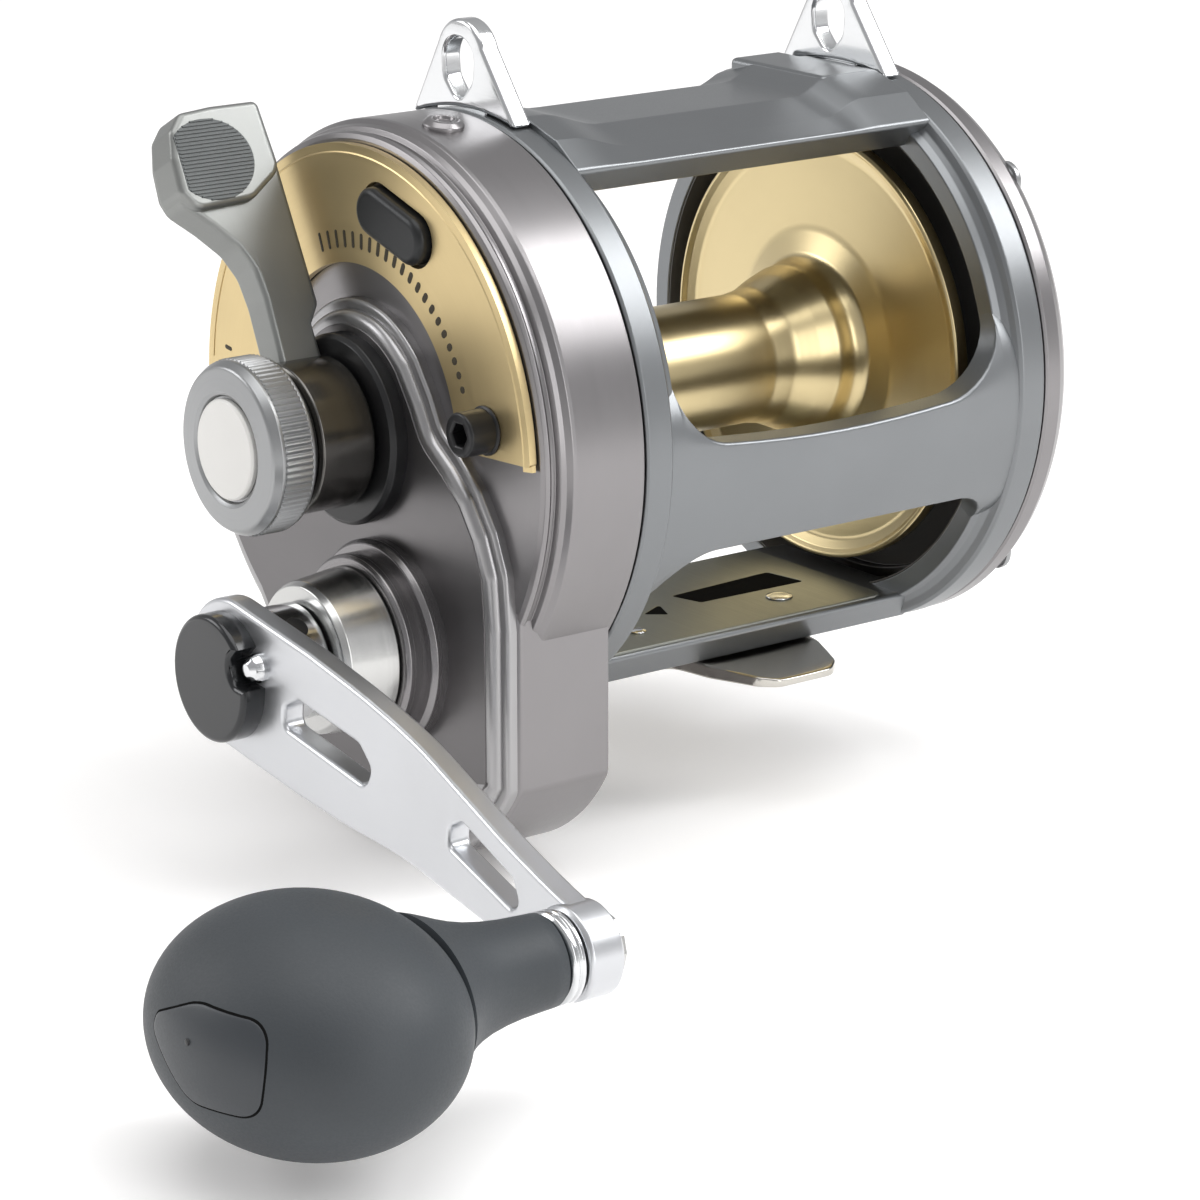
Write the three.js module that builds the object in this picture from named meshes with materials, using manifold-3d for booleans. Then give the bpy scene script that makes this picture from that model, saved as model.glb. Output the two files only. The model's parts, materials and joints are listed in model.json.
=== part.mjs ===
// A lever-drag trolling reel, as an assembly of separate solids. Millimetres, +Z up.
// +X points forward (towards the rod tip), +Y points to the angler's left; the crank is on the -Y side.
// The origin is the centre of the underside of the reel foot, where the reel seats on the rod.
// Inside the reel group, y is measured from the joint between gear side plate and frame,
// and x and z are measured from the spool axis, which runs along Y.
import * as THREE from "three";
import { mergeVertices } from "three/addons/utils/BufferGeometryUtils.js";
import Module from "manifold-3d";

const wasm = await Module();
wasm.setup();

// ---------------------------------------------------------------- driving dimensions
const GAP = 0.3; // clearance kept between neighbouring solids

const BODY_R = 48; // frame rings and side plates
const FRAME_WIDTH = 82.4; // over both frame rings
const RING_W = 8; // one frame ring
const LIP_R = 45.2; // inner edge of a ring's rounded shoulder
const CAGE_R = 47.4; // outside of the frame bars
const BORE_R = 41.8; // frame bore that the spool turns in
const BASE_TOP_Z = -39.2;
const BASE_BOTTOM_Z = -44.6;
const BASE_FRONT_X = 22.5;
const BASE_REAR_X = -15;

const FOOT_Y = 46.5; // middle of the reel foot
const FOOT_THICK = 2.4;
const FOOT_WIDTH = 45;
const FOOT_LENGTH = 62;
const AXIS_HEIGHT = -BASE_BOTTOM_Z + GAP + FOOT_THICK; // spool axis above the rod seat

const CRANK_X = 9; // crank axis, from the spool axis
const CRANK_Z = -33;
const GEAR_TEETH = 60;
const PINION_TEETH = 12;
const CENTRES = Math.hypot(CRANK_X, CRANK_Z);
const GEAR_MODULE = (2 * CENTRES) / (GEAR_TEETH + PINION_TEETH);

const FLANGE_R = 36.8;
const ARBOR_R = 10.9;
const SHAFT_R = 3.5;
const SHAFT_END_Y = -43; // outer end of the spool shaft, in the preset knob
const DRUM_ROOM_R = 36; // room for the pressure plate, inside the gear side plate
const GEAR_ROOM_R = 30.2;
const QUADRANT_R = 44.8;
const QUADRANT_BORE_R = 26;
const FACE_Y = -18.2; // front of the gear side plate under the quadrant
const HOUSING_Y = -21.5; // front of the raised gear housing
const LOBE_R = 35.6;
const LOBE_FRONT_X = 39.6;

const LEVER_ANGLE = 118; // degrees from forward, towards up
const LEVER_HUB_R = 12;
const HANDLE_ANGLE = -8.6;
const HANDLE_LENGTH = 98;
const HANDLE_BEND = 48; // distance from the crank axis to the bend
const HANDLE_FLARE = 0.15; // outward slope of the arm beyond the bend
const ARM_FACE_Y = -51.3;
const ARM_THICK = 4;
const GRIP_Y = -101.5; // middle of the oval grip
const OVAL_LONG = 24.4; // the grip's half sizes: forward, across and outwards
const OVAL_SHORT = 17.2;
const OVAL_HALF = 20.6;

const RING_SEGMENTS = 40;
const SMALL_SEGMENTS = 16;
const TINY_SEGMENTS = 12;
const DEG = Math.PI / 180;

// ---------------------------------------------------------------- materials
function finish(color, roughness, metalness) {
  return new THREE.MeshStandardMaterial({ color, roughness, metalness });
}
const titaniumGrey = finish(0x8b8a8c, 0.38, 0.85);
const frameGrey = finish(0x86898c, 0.36, 0.85);
const champagneGold = finish(0xc9b27a, 0.35, 0.9);
const polishedGold = finish(0xc8a95a, 0.2, 0.95);
const satinSilver = finish(0xc4c7cb, 0.3, 0.9);
const brightSteel = finish(0xd4d6d8, 0.18, 1.0);
const gunmetal = finish(0x45474a, 0.4, 0.7);
const blackPart = finish(0x1b1c1e, 0.5, 0.3);
const leverGrey = finish(0xa3a5a5, 0.42, 0.75);
const knobGrey = finish(0x8d8f91, 0.4, 0.75);
const paleDisc = finish(0xd9d8d2, 0.6, 0.1);
const slateRubber = finish(0x42474b, 0.7, 0.0);
const carbonDisc = finish(0x2b2b2d, 0.6, 0.1);
const gearBronze = finish(0xa8874a, 0.35, 0.9);

// ---------------------------------------------------------------- geometry helpers
function solidOf(geometry) {
  const bare = geometry.clone();
  bare.deleteAttribute("normal");
  bare.deleteAttribute("uv");
  const merged = mergeVertices(bare, 1e-4);
  const mesh = new wasm.Mesh({
    numProp: 3,
    vertProperties: new Float32Array(merged.attributes.position.array),
    triVerts: new Uint32Array(merged.index.array),
  });
  return new wasm.Manifold(mesh);
}

function geometryOf(solid) {
  const mesh = solid.getMesh();
  const flat = new THREE.BufferGeometry();
  flat.setAttribute("position", new THREE.BufferAttribute(mesh.vertProperties, 3));
  flat.setIndex(new THREE.BufferAttribute(mesh.triVerts, 1));
  const sharp = flat.toNonIndexed();
  sharp.computeVertexNormals();
  return sharp;
}

function joined(...geometries) {
  return geometryOf(geometries.map(solidOf).reduce((all, one) => all.add(one)));
}

function cut(geometry, ...cutters) {
  return geometryOf(cutters.map(solidOf).reduce((left, one) => left.subtract(one), solidOf(geometry)));
}

// A body of revolution about the Y axis from [radius, y] points. The loop is closed if it is open.
function turned(points, segments = RING_SEGMENTS) {
  let area = 0;
  points.forEach(([r, y], i) => {
    const [nextR, nextY] = points[(i + 1) % points.length];
    area += r * nextY - nextR * y;
  });
  const loop = area > 0 ? [...points] : [...points].reverse();
  loop.push(loop[0]);
  return new THREE.LatheGeometry(loop.map(([r, y]) => new THREE.Vector2(r, y)), segments);
}

function ring(inner, outer, y0, y1, segments = RING_SEGMENTS) {
  return turned([[inner, y0], [outer, y0], [outer, y1], [inner, y1]], segments);
}

function rod(radius, y0, y1, x = 0, z = 0, segments = SMALL_SEGMENTS) {
  const geometry = new THREE.CylinderGeometry(radius, radius, y1 - y0, segments);
  return geometry.translate(x, (y0 + y1) / 2, z);
}

function box(x0, x1, y0, y1, z0, z1) {
  const geometry = new THREE.BoxGeometry(x1 - x0, y1 - y0, z1 - z0);
  return geometry.translate((x0 + x1) / 2, (y0 + y1) / 2, (z0 + z1) / 2);
}

// Extrudes an outline drawn in (x, z) along Y, from y0 to y1.
function plate(shape, y0, y1, curveSegments = 8) {
  const settings = { depth: y1 - y0, bevelEnabled: false, curveSegments };
  const geometry = new THREE.ExtrudeGeometry(shape, settings);
  return geometry.rotateX(Math.PI / 2).translate(0, y1, 0);
}

// A closed outline from [x, z] points, always counterclockwise, so that holes can run clockwise.
function outline(points) {
  const corners = points.map(([x, z]) => new THREE.Vector2(x, z));
  if (THREE.ShapeUtils.isClockWise(corners)) corners.reverse();
  return new THREE.Shape(corners);
}

function polar(radius, degrees, x = 0, z = 0) {
  return [x + radius * Math.cos(degrees * DEG), z + radius * Math.sin(degrees * DEG)];
}

function arc(radius, from, to, steps, x = 0, z = 0) {
  const points = [];
  for (let i = 0; i <= steps; i++) points.push(polar(radius, from + ((to - from) * i) / steps, x, z));
  return points;
}

function sector(inner, outer, from, to, steps = 24) {
  return outline([...arc(outer, from, to, steps), ...arc(inner, to, from, steps)]);
}

function roundedRect(width, height, radius) {
  const shape = new THREE.Shape();
  const w = width / 2 - radius;
  const h = height / 2 - radius;
  shape.absarc(w, h, radius, 0, Math.PI / 2);
  shape.absarc(-w, h, radius, Math.PI / 2, Math.PI);
  shape.absarc(-w, -h, radius, Math.PI, 1.5 * Math.PI);
  shape.absarc(w, -h, radius, 1.5 * Math.PI, 2 * Math.PI);
  return shape;
}

// Gear teeth with straight flanks: root, flank, tip, flank for each tooth.
function gearOutline(teeth, module, addendum, dedendum, firstTooth) {
  const pitch = (teeth * module) / 2;
  const step = 360 / teeth;
  const points = [];
  for (let i = 0; i < teeth; i++) {
    const middle = firstTooth + i * step;
    points.push(polar(pitch - dedendum, middle - 0.36 * step));
    points.push(polar(pitch + addendum, middle - 0.13 * step));
    points.push(polar(pitch + addendum, middle + 0.13 * step));
    points.push(polar(pitch - dedendum, middle + 0.36 * step));
  }
  return outline(points);
}

// Adds a round or oval hole to an outline.
function withHole(shape, radiusX, radiusZ = radiusX, x = 0, z = 0, steps = 24) {
  const points = [];
  for (let i = 0; i < steps; i++) {
    const angle = (-2 * Math.PI * i) / steps;
    points.push(new THREE.Vector2(x + radiusX * Math.cos(angle), z + radiusZ * Math.sin(angle)));
  }
  shape.holes.push(new THREE.Path(points));
  return shape;
}

// A screw with its head towards +Y and a hexagonal socket; the origin is under the head.
function screwGeometry(headR, headH, shankR, length, socketR = headR * 0.5) {
  const head = new THREE.CylinderGeometry(headR * 0.86, headR, headH, TINY_SEGMENTS);
  head.translate(0, headH / 2, 0);
  const shank = rod(shankR, 0.01 - length, 0.01, 0, 0, TINY_SEGMENTS);
  const socket = rod(socketR, headH * 0.4, headH * 1.4, 0, 0, 6);
  return cut(joined(head, shank), socket);
}

const reel = new THREE.Group();
reel.position.set(0, -FOOT_Y, AXIS_HEIGHT);

function add(name, geometry, material, parent = reel) {
  const mesh = new THREE.Mesh(geometry, material);
  mesh.name = name;
  parent.add(mesh);
  return mesh;
}

// ---------------------------------------------------------------- frame
const TOP_BAR = [
  [24.5, 41.2], [18, 45.4], [10, 48.2], [-8, 48.2], [-17, 45.6], [-19, 37.2], [0, 42], [20.5, 36.4],
];
const REAR_BAR = [206, 222]; // start and end angles
const FRONT_BAR = [-21, 2.5];
const LUG_X = -2.4;

function frameRing() {
  return turned([
    [BORE_R, 0.15], [BODY_R, 0.15], [BODY_R, 5], [BODY_R - 1, 5.7],
    [LIP_R + 0.5, 6.6], [LIP_R, RING_W], [BORE_R, RING_W],
  ]);
}

function frameBar(from, to) {
  return plate(sector(BORE_R + 0.4, CAGE_R, from, to, 6), RING_W - 3, FRAME_WIDTH - RING_W + 3);
}

// A fillet web in a window's corner, where a bar runs into a ring.
function cageWeb(angle, towards, y, intoWindow) {
  const size = 9;
  const shape = new THREE.Shape();
  shape.moveTo(0, 0);
  shape.lineTo(size, 0);
  shape.absarc(size, size, size, -Math.PI / 2, -Math.PI, true);
  shape.closePath();
  const geometry = new THREE.ExtrudeGeometry(shape, { depth: 4.4, bevelEnabled: false, curveSegments: 6 });
  const outward = new THREE.Vector3(Math.cos(angle * DEG), 0, Math.sin(angle * DEG));
  const tangent = new THREE.Vector3(-outward.z, 0, outward.x).multiplyScalar(towards);
  const along = new THREE.Vector3(0, intoWindow, 0);
  const basis = new THREE.Matrix4().makeBasis(along, tangent, outward);
  const placed = geometry.applyMatrix4(basis);
  if (basis.determinant() < 0) {
    const index = placed.attributes.position.array;
    for (let i = 0; i < index.length; i += 9) {
      for (let k = 0; k < 3; k++) [index[i + 3 + k], index[i + 6 + k]] = [index[i + 6 + k], index[i + 3 + k]];
    }
  }
  const radius = BORE_R + 0.9;
  return placed.translate(radius * outward.x, y, radius * outward.z);
}

function basePlate() {
  const profile = outline([
    [BASE_FRONT_X, BASE_TOP_Z], [BASE_FRONT_X - 4, BASE_BOTTOM_Z],
    [BASE_REAR_X + 2, BASE_BOTTOM_Z], [BASE_REAR_X, BASE_TOP_Z],
  ]);
  const slot = roundedRect(11, 24, 3);
  const slotCut = new THREE.ExtrudeGeometry(slot, { depth: 10, bevelEnabled: false, curveSegments: 4 });
  slotCut.translate(-1, FOOT_Y, BASE_BOTTOM_Z - 2);
  const plateSolid = plate(profile, 4, FRAME_WIDTH - 4);
  // The underside arches up over the front and rear tongues of the foot.
  const arch = new THREE.CylinderGeometry(20, 20, 60, 32).rotateZ(Math.PI / 2);
  arch.translate(31.5, FOOT_Y, BASE_BOTTOM_Z - 17.6);
  return cut(plateSolid, slotCut, arch);
}

const FOOT_SCREWS = [[6.5, FOOT_Y - 18], [6.5, FOOT_Y + 18], [-6.5, FOOT_Y - 18], [-6.5, FOOT_Y + 18]];

function frameGeometry() {
  const farRing = frameRing().rotateZ(Math.PI).translate(0, FRAME_WIDTH, 0);
  const webs = [];
  const nearWindow = RING_W;
  const farWindow = FRAME_WIDTH - RING_W;
  const corners = [[FRONT_BAR[1], 1], [FRONT_BAR[0], -1], [REAR_BAR[1], 1], [REAR_BAR[0], -1]];
  for (const [angle, towards] of corners) {
    webs.push(cageWeb(angle, towards, nearWindow - 1, 1));
    webs.push(cageWeb(angle, towards, farWindow + 1, -1));
  }
  const topPad = box(-15, 10.5, 61, FRAME_WIDTH - 6, 43.2, 49.4);
  const body = joined(
    frameRing(), farRing,
    frameBar(...FRONT_BAR), frameBar(...REAR_BAR),
    plate(outline(TOP_BAR), RING_W - 3, FRAME_WIDTH - RING_W + 3), topPad,
    basePlate(), ...webs,
  );
  const screwHoles = FOOT_SCREWS.map(([x, y]) => {
    const hole = new THREE.CylinderGeometry(1.6, 1.6, 12, 12).rotateX(Math.PI / 2);
    return hole.translate(x, y, BASE_BOTTOM_Z);
  });
  const lugSlots = [LUG_NEAR_Y, LUG_FAR_Y].map((y) =>
    box(LUG_X - 7.3, LUG_X + 7.3, y - LUG_THICK / 2 - GAP, y + LUG_THICK / 2 + GAP, 44.2, 52));
  const bore = rod(BORE_R, -1, FRAME_WIDTH + 1, 0, 0, RING_SEGMENTS);
  const plateHoles = LEFT_SCREWS.map(([x, z]) => rod(1.5, FRAME_WIDTH - 7, FRAME_WIDTH + 2, x, z, 12));
  return cut(body, bore, ...screwHoles, ...lugSlots, ...plateHoles);
}

// ---------------------------------------------------------------- harness lugs
const LUG_THICK = 3.6;
const LUG_NEAR_Y = 3.2;
const LUG_FAR_Y = FRAME_WIDTH - 3.0;
const LUG_TOP_R = 6.6;
const LUG_TOP_Z = 55.8;

function harnessLug(y) {
  const foot = BODY_R + GAP;
  const tenon = [LUG_X + 7, LUG_X - 7];
  const [tenonFront, tenonRear] = tenon.map((x) => Math.acos(x / foot) / DEG);
  const shape = outline([
    ...arc(foot, 74, tenonFront, 4),
    [tenon[0], 44.6], [tenon[1], 44.6],
    ...arc(foot, tenonRear, 111, 4),
    ...arc(LUG_TOP_R, 158, 22, 10, LUG_X, LUG_TOP_Z),
  ]);
  withHole(shape, 4.5, 5.2, LUG_X - 0.6, 54.2, 20);
  return plate(shape, y - LUG_THICK / 2, y + LUG_THICK / 2);
}

// ---------------------------------------------------------------- gear side plate
// The lobe that holds the main gear: flat towards the front, round underneath.
function lobeOutline() {
  const front = Math.acos((LOBE_FRONT_X - CRANK_X) / LOBE_R) / DEG;
  return outline([
    [LOBE_FRONT_X, -20], ...arc(LOBE_R, -front, -168, 22, CRANK_X, CRANK_Z), [-26, -20], [-10, 0], [20, 0],
  ]);
}

function raisedHousing() {
  const step = 0.4; // how far it stays inside the lobe
  const radius = LOBE_R - step;
  const front = Math.acos((LOBE_FRONT_X - step - CRANK_X) / radius) / DEG;
  const right = [[24, -0.7], [29.2, -6.2], [34.6, -13]];
  const shape = outline([
    [LOBE_FRONT_X - step, -20.5],
    ...arc(radius, -front, -122, 16, CRANK_X, CRANK_Z),
    ...arc(46.6, -131, -172, 8),
    [-27, -4], ...arc(18, 190, 22, 14), ...right,
  ]);
  return plate(shape, HOUSING_Y, FACE_Y + 1);
}

function gearSidePlate() {
  const shell = turned([
    [0, -GAP], [BODY_R, -GAP], [BODY_R, -13.6], [BODY_R - 0.4, -14.2], [46.7, -16.6],
    [46.2, -17.4], [45.4, FACE_Y], [0, FACE_Y],
  ]);
  const lobe = plate(lobeOutline(), FACE_Y, -0.9);
  const leverBoss = rod(15.4, -24.6, FACE_Y, 0, 0, 36);
  const crankBoss = rod(16.7, -24.5, FACE_Y, CRANK_X, CRANK_Z, 36);
  const crankStep = rod(14.9, -28, -24, CRANK_X, CRANK_Z, 36);
  const drumRoom = rod(DRUM_ROOM_R, -5, 2, 0, 0, RING_SEGMENTS);
  const pinionRoom = rod(9.2, -15.6, -4, 0, 0, SMALL_SEGMENTS);
  const gearRoom = rod(GEAR_ROOM_R, -14.8, -1.6, CRANK_X, CRANK_Z, 48);
  const ratchetRoom = rod(27, -17.9, -14, CRANK_X, CRANK_Z, 36);
  const pinionSeat = rod(8.3, -20, -14, 0, 0, SMALL_SEGMENTS);
  const camSeat = rod(9.8, -30, -20.2, 0, 0, SMALL_SEGMENTS);
  const spoolShaftBore = rod(SHAFT_R + GAP, -30, -10, 0, 0, SMALL_SEGMENTS);
  const shaftBore = rod(8.3, -30, -17, CRANK_X, CRANK_Z, SMALL_SEGMENTS);
  const strikeSeat = plate(strikeOutline(GAP), -20, -13);
  const stopHole = rod(1.9, -20, -12, ...FULL_STOP, 12);
  const pawlHole = rod(1.3, -19.6, -16, ...PAWL_PIVOT, 12);
  const topHole = new THREE.CylinderGeometry(1.5, 1.5, 8, 12).rotateX(Math.PI / 2);
  topHole.translate(0, TOP_SCREW_Y, 46).rotateY(TOP_SCREW_TURN * DEG);
  const bodySolid = joined(shell, lobe, raisedHousing(), leverBoss, crankBoss, crankStep);
  return cut(
    bodySolid, drumRoom, pinionRoom, gearRoom, ratchetRoom, pinionSeat, camSeat, spoolShaftBore, shaftBore,
    strikeSeat, stopHole, pawlHole, topHole,
  );
}

const TOP_SCREW_TURN = 8; // forward round the rim from its top
const TOP_SCREW_Y = -8.2;
const STRIKE_AT = [10.4, 33.9];
const FULL_STOP = [33.6, 6];
const PAWL_PIVOT = [-12.5, -42];

function strikeOutline(grow) {
  const [x, z] = STRIKE_AT;
  const tilt = -16.5 * DEG;
  const halfLength = 5.2;
  const radius = 4.2 + grow;
  const shape = new THREE.Shape();
  const dx = halfLength * Math.cos(tilt);
  const dz = halfLength * Math.sin(tilt);
  shape.absarc(x + dx, z + dz, radius, tilt - Math.PI / 2, tilt + Math.PI / 2);
  shape.absarc(x - dx, z - dz, radius, tilt + Math.PI / 2, tilt + 1.5 * Math.PI);
  return shape;
}

function quadrantPlate() {
  const shape = sector(QUADRANT_BORE_R, QUADRANT_R, 3, 181, 28);
  const body = plate(shape, -19.8, FACE_Y - GAP);
  const strike = plate(strikeOutline(GAP), -22, -16);
  return cut(body, strike, rod(1.9, -22, -16, ...FULL_STOP, 12));
}

// ---------------------------------------------------------------- left side plate
const LEFT_SCREWS = [45, 135, 225, 315].map((angle) => polar(44.6, angle));
const CLICK_AT = [-19, 0]; // click button, on the left side plate

function leftSidePlate() {
  const inner = FRAME_WIDTH + GAP;
  const body = turned([
    [0, inner + 1.6], [40, inner + 1.6], [40, inner], [BODY_R - 0.2, inner],
    [BODY_R - 0.2, inner + 3.4],
    [45.6, inner + 6], [34, inner + 6.6], [32, inner + 5.6], [15, inner + 5.6], [13.6, inner + 6.6],
    [0, inner + 6.6],
  ]);
  const shaftSeat = rod(SHAFT_R + GAP, 80, inner + 5.4, 0, 0, SMALL_SEGMENTS);
  const slot = plate(roundedRect(9.2, 4.2, 2), 78, 94, 4).translate(CLICK_AT[0] + 2, 0, 0);
  const holes = LEFT_SCREWS.map(([x, z]) => rod(1.5, 80, 94, x, z, 12));
  const seats = LEFT_SCREWS.map(([x, z]) => rod(3.0, inner + 3.2, 94, x, z, TINY_SEGMENTS));
  return cut(body, shaftSeat, slot, ...holes, ...seats);
}

// ---------------------------------------------------------------- spool and drag
function spoolGeometry() {
  return turned([
    [FLANGE_R, 4.2], [FLANGE_R, 6.6], [15, 7.4], [ARBOR_R, 11], [ARBOR_R, 58], [13.4, 65], [14.6, 71],
    [16.5, 74], [33.8, 74.2], [FLANGE_R, 72.8], [FLANGE_R, 75.6], [15, 77], [11, 78.7], [8.3, 78.7],
    [8.3, 73], [5.4, 73], [5.4, 10], [8.3, 10], [8.3, 4.2],
  ], 32);
}

function spoolBearing(y0) {
  return ring(SHAFT_R + GAP, 8, y0, y0 + 5, SMALL_SEGMENTS);
}

function coneWasher(y, lean) {
  const inner = SHAFT_R + GAP;
  return turned([[inner, y], [7, y + lean], [7, y + lean + 0.7], [inner, y + 0.7]], SMALL_SEGMENTS);
}

function coilSpring(radius, wire, y0, y1, turns) {
  class Helix extends THREE.Curve {
    getPoint(t, target = new THREE.Vector3()) {
      const angle = 2 * Math.PI * turns * t;
      return target.set(radius * Math.cos(angle), y0 + (y1 - y0) * t, radius * Math.sin(angle));
    }
  }
  const section = new THREE.Shape(arc(wire, 0, 270, 3).map(([x, y]) => new THREE.Vector2(x, y)));
  const steps = Math.round(12 * turns);
  return new THREE.ExtrudeGeometry(section, { steps, extrudePath: new Helix(), bevelEnabled: false });
}

function clickGear() {
  const shape = withHole(gearOutline(24, 1.2, 0.9, 0.9, 7.5), 8.6);
  return plate(shape, 79.0, 81.0);
}

// ---------------------------------------------------------------- gears
// The main gear has a tooth on the line of centres, and the pinion a gap there.
const LINE_OF_CENTRES = Math.atan2(CRANK_Z, CRANK_X) / DEG;
const ADDENDUM = 0.6;
const DEDENDUM = 0.85;

function mainGear() {
  const teeth = gearOutline(GEAR_TEETH, GEAR_MODULE, ADDENDUM, DEDENDUM, LINE_OF_CENTRES + 180);
  return plate(withHole(teeth, 5 + GAP), -14.2, -8);
}

function pinionGear() {
  const firstTooth = LINE_OF_CENTRES + 180 / PINION_TEETH;
  const teeth = plate(gearOutline(PINION_TEETH, GEAR_MODULE, ADDENDUM, DEDENDUM, firstTooth), -15.4, -6.6);
  const sleeve = rod(5, -19.6, -14, 0, 0, SMALL_SEGMENTS);
  const hub = rod(6.2, -7, -2.8, 0, 0, SMALL_SEGMENTS);
  return cut(joined(teeth, sleeve, hub), rod(SHAFT_R + GAP, -30, 2, 0, 0, SMALL_SEGMENTS));
}

function ratchetWheel() {
  const teeth = 12;
  const points = [];
  for (let i = 0; i < teeth; i++) {
    points.push(polar(13.5, (i * 360) / teeth));
    points.push(polar(10.8, ((i + 0.12) * 360) / teeth));
  }
  return plate(withHole(outline(points), 5.3), -17.2, -14.8);
}

function antiReversePawl() {
  const [x, z] = PAWL_PIVOT;
  const shape = outline([
    [x - 2.2, z], [x - 0.6, z - 2.2], [x + 2.4, z - 1.6], [x + 8.6, z + 3.4], [x + 7.2, z + 4.6],
    [x + 1.2, z + 2.4], [x - 1.4, z + 1.8],
  ]);
  const pin = rod(1.0, -19.4, -15, x, z, 12);
  return joined(plate(shape, -17.2, -15), pin);
}

// ---------------------------------------------------------------- crank
function driveShaft() {
  return joined(
    rod(5, -47.2, -7.2, 0, 0, SMALL_SEGMENTS),
    rod(7, -7.7, -6.4, 0, 0, SMALL_SEGMENTS),
    rod(4.2, -51.5, -46, 0, 0, SMALL_SEGMENTS),
  );
}

function shaftSleeve() {
  return turned([[6.2, -28.3], [13, -28.3], [12.9, -30], [12.2, -37], [11.4, -37.8], [6.2, -37.8]], 24);
}

function hubCollar() {
  const body = turned([
    [5.3, -38.1], [8.8, -38.1], [9.2, -38.6], [9.2, -46.4], [8.8, -46.9], [5.3, -46.9],
  ], 20);
  const pinHole = new THREE.CylinderGeometry(1.7, 1.7, 14, 12).rotateZ(Math.PI / 2);
  pinHole.rotateY(-52 * DEG).translate(6, -42.5, 8);
  return cut(body, pinHole);
}

// The arm's outline in its own frame: s runs out from the crank axis, t across.
function armHalfWidth(s) {
  const ends = [[0, 12], [24, 11.6], [48, 9.4], [90, 6.9], [HANDLE_LENGTH, 6.9]];
  const i = ends.findIndex(([end], k) => k > 0 && s <= end);
  const [s0, w0] = ends[i - 1];
  const [s1, w1] = ends[i];
  return w0 + ((w1 - w0) * (s - s0)) / (s1 - s0);
}

function armBlank(y0, y1) {
  const stations = [6, 24, 48, 70, 90];
  const hubR = 12;
  const endR = 6.9;
  const shape = outline([
    ...stations.map((s) => [s, -armHalfWidth(s)]),
    ...arc(endR, -80, 80, 8, HANDLE_LENGTH, 0),
    ...stations.reverse().map((s) => [s, armHalfWidth(s)]),
    ...arc(hubR, 84, 276, 14),
  ]);
  return plate(shape, y0, y1);
}

function armSlot(s0, s1, w0, w1) {
  const shape = outline([
    [s0, -w0], [s1 - 2, -w1], [s1, -w1 + 1.6], [s1, w1 - 1.6], [s1 - 2, w1], [s0, w0],
    [s0 - 1.6, w0 - 1.6], [s0 - 1.6, 1.6 - w0],
  ]);
  return plate(shape, -90, -20);
}

function handleArm() {
  const flare = Math.atan(HANDLE_FLARE);
  const inner = ARM_FACE_Y + ARM_THICK;
  const straight = box(-20, HANDLE_BEND, ARM_FACE_Y, inner, -20, 20);
  // Beyond the bend the bar slopes outwards, towards -Y.
  const reach = 70;
  const sloping = box(0, reach, 0, ARM_THICK * 1.01, -20, 20).rotateZ(-flare);
  sloping.translate(HANDLE_BEND - 0.3, ARM_FACE_Y, 0);
  const boss = rod(6.9, POST_Y - 0.9, POST_Y + ARM_THICK + 1, HANDLE_LENGTH, 0, SMALL_SEGMENTS);
  const bar = solidOf(joined(straight, sloping)).intersect(solidOf(armBlank(-90, -20)));
  const body = joined(geometryOf(bar), boss);
  const capSeat = rod(10.5, -60, ARM_FACE_Y + 1.2, 0, 0, 32);
  const lockHole = joined(
    rod(1.5, -60, -20, LOCK_SCREW_S, LOCK_SCREW_T, 12),
    rod(2.6, -60, ARM_FACE_Y + 1.2, LOCK_SCREW_S, LOCK_SCREW_T, 12),
  );
  return cut(
    body, capSeat, rod(4.5, -60, -20, 0, 0, SMALL_SEGMENTS), lockHole,
    armSlot(19, 36, 3.4, 3.0), armSlot(65, 82, 2.9, 2.4),
    rod(3.3, -90, -20, HANDLE_LENGTH, 0, SMALL_SEGMENTS),
  );
}

const LOCK_SCREW_S = 8.2;
const LOCK_SCREW_T = 4.6;
const POST_Y = ARM_FACE_Y - HANDLE_FLARE * (HANDLE_LENGTH - HANDLE_BEND);

function endCap() {
  const body = turned([
    [4.5, ARM_FACE_Y + 0.9], [10.1, ARM_FACE_Y + 0.9], [10.1, -54.4], [9.4, -55.3], [0, -55.3],
    [0, -51.9], [4.5, -51.9],
  ], 24);
  return cut(body, rod(3.0, -60, -50, LOCK_SCREW_S, LOCK_SCREW_T, TINY_SEGMENTS));
}

function lockScrew() {
  const screw = screwGeometry(2.3, 1.7, 1.2, 2.4, 1.1).rotateX(Math.PI);
  return screw.translate(LOCK_SCREW_S, ARM_FACE_Y + 0.8, LOCK_SCREW_T);
}

const BADGE_FLOOR_Y = GRIP_Y - 16.5;
const BADGE_AT = [2.5, -1]; // from the grip's axis

function ovalSkin() {
  const oval = new THREE.SphereGeometry(1, 24, 16).scale(OVAL_LONG, OVAL_HALF, OVAL_SHORT);
  return oval.translate(0, GRIP_Y, 0);
}

// The round neck widens until it meets the oval ball.
function gripGeometry() {
  const end = POST_Y - 4.2;
  const neck = turned([
    [0, end], [6.3, end], [6.7, end - 0.5], [7.3, end - 8], [8.6, end - 15], [11.5, end - 23],
    [11.5, end - 30], [0, end - 30],
  ], 24);
  const postBore = rod(3.6, GRIP_Y - 8, -20, 0, 0, TINY_SEGMENTS);
  return cut(joined(ovalSkin(), neck), postBore, badgeBlock(GAP, BADGE_FLOOR_Y));
}

// The panel let into the grip's outer end, on the side that faces the angler's hand.
function badgeBlock(grow, floorY) {
  const shape = roundedRect(21 + 2 * grow, 15 + 2 * grow, 4 + grow);
  return plate(shape, GRIP_Y - 30, floorY, 4).translate(BADGE_AT[0], 0, BADGE_AT[1]);
}

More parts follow.
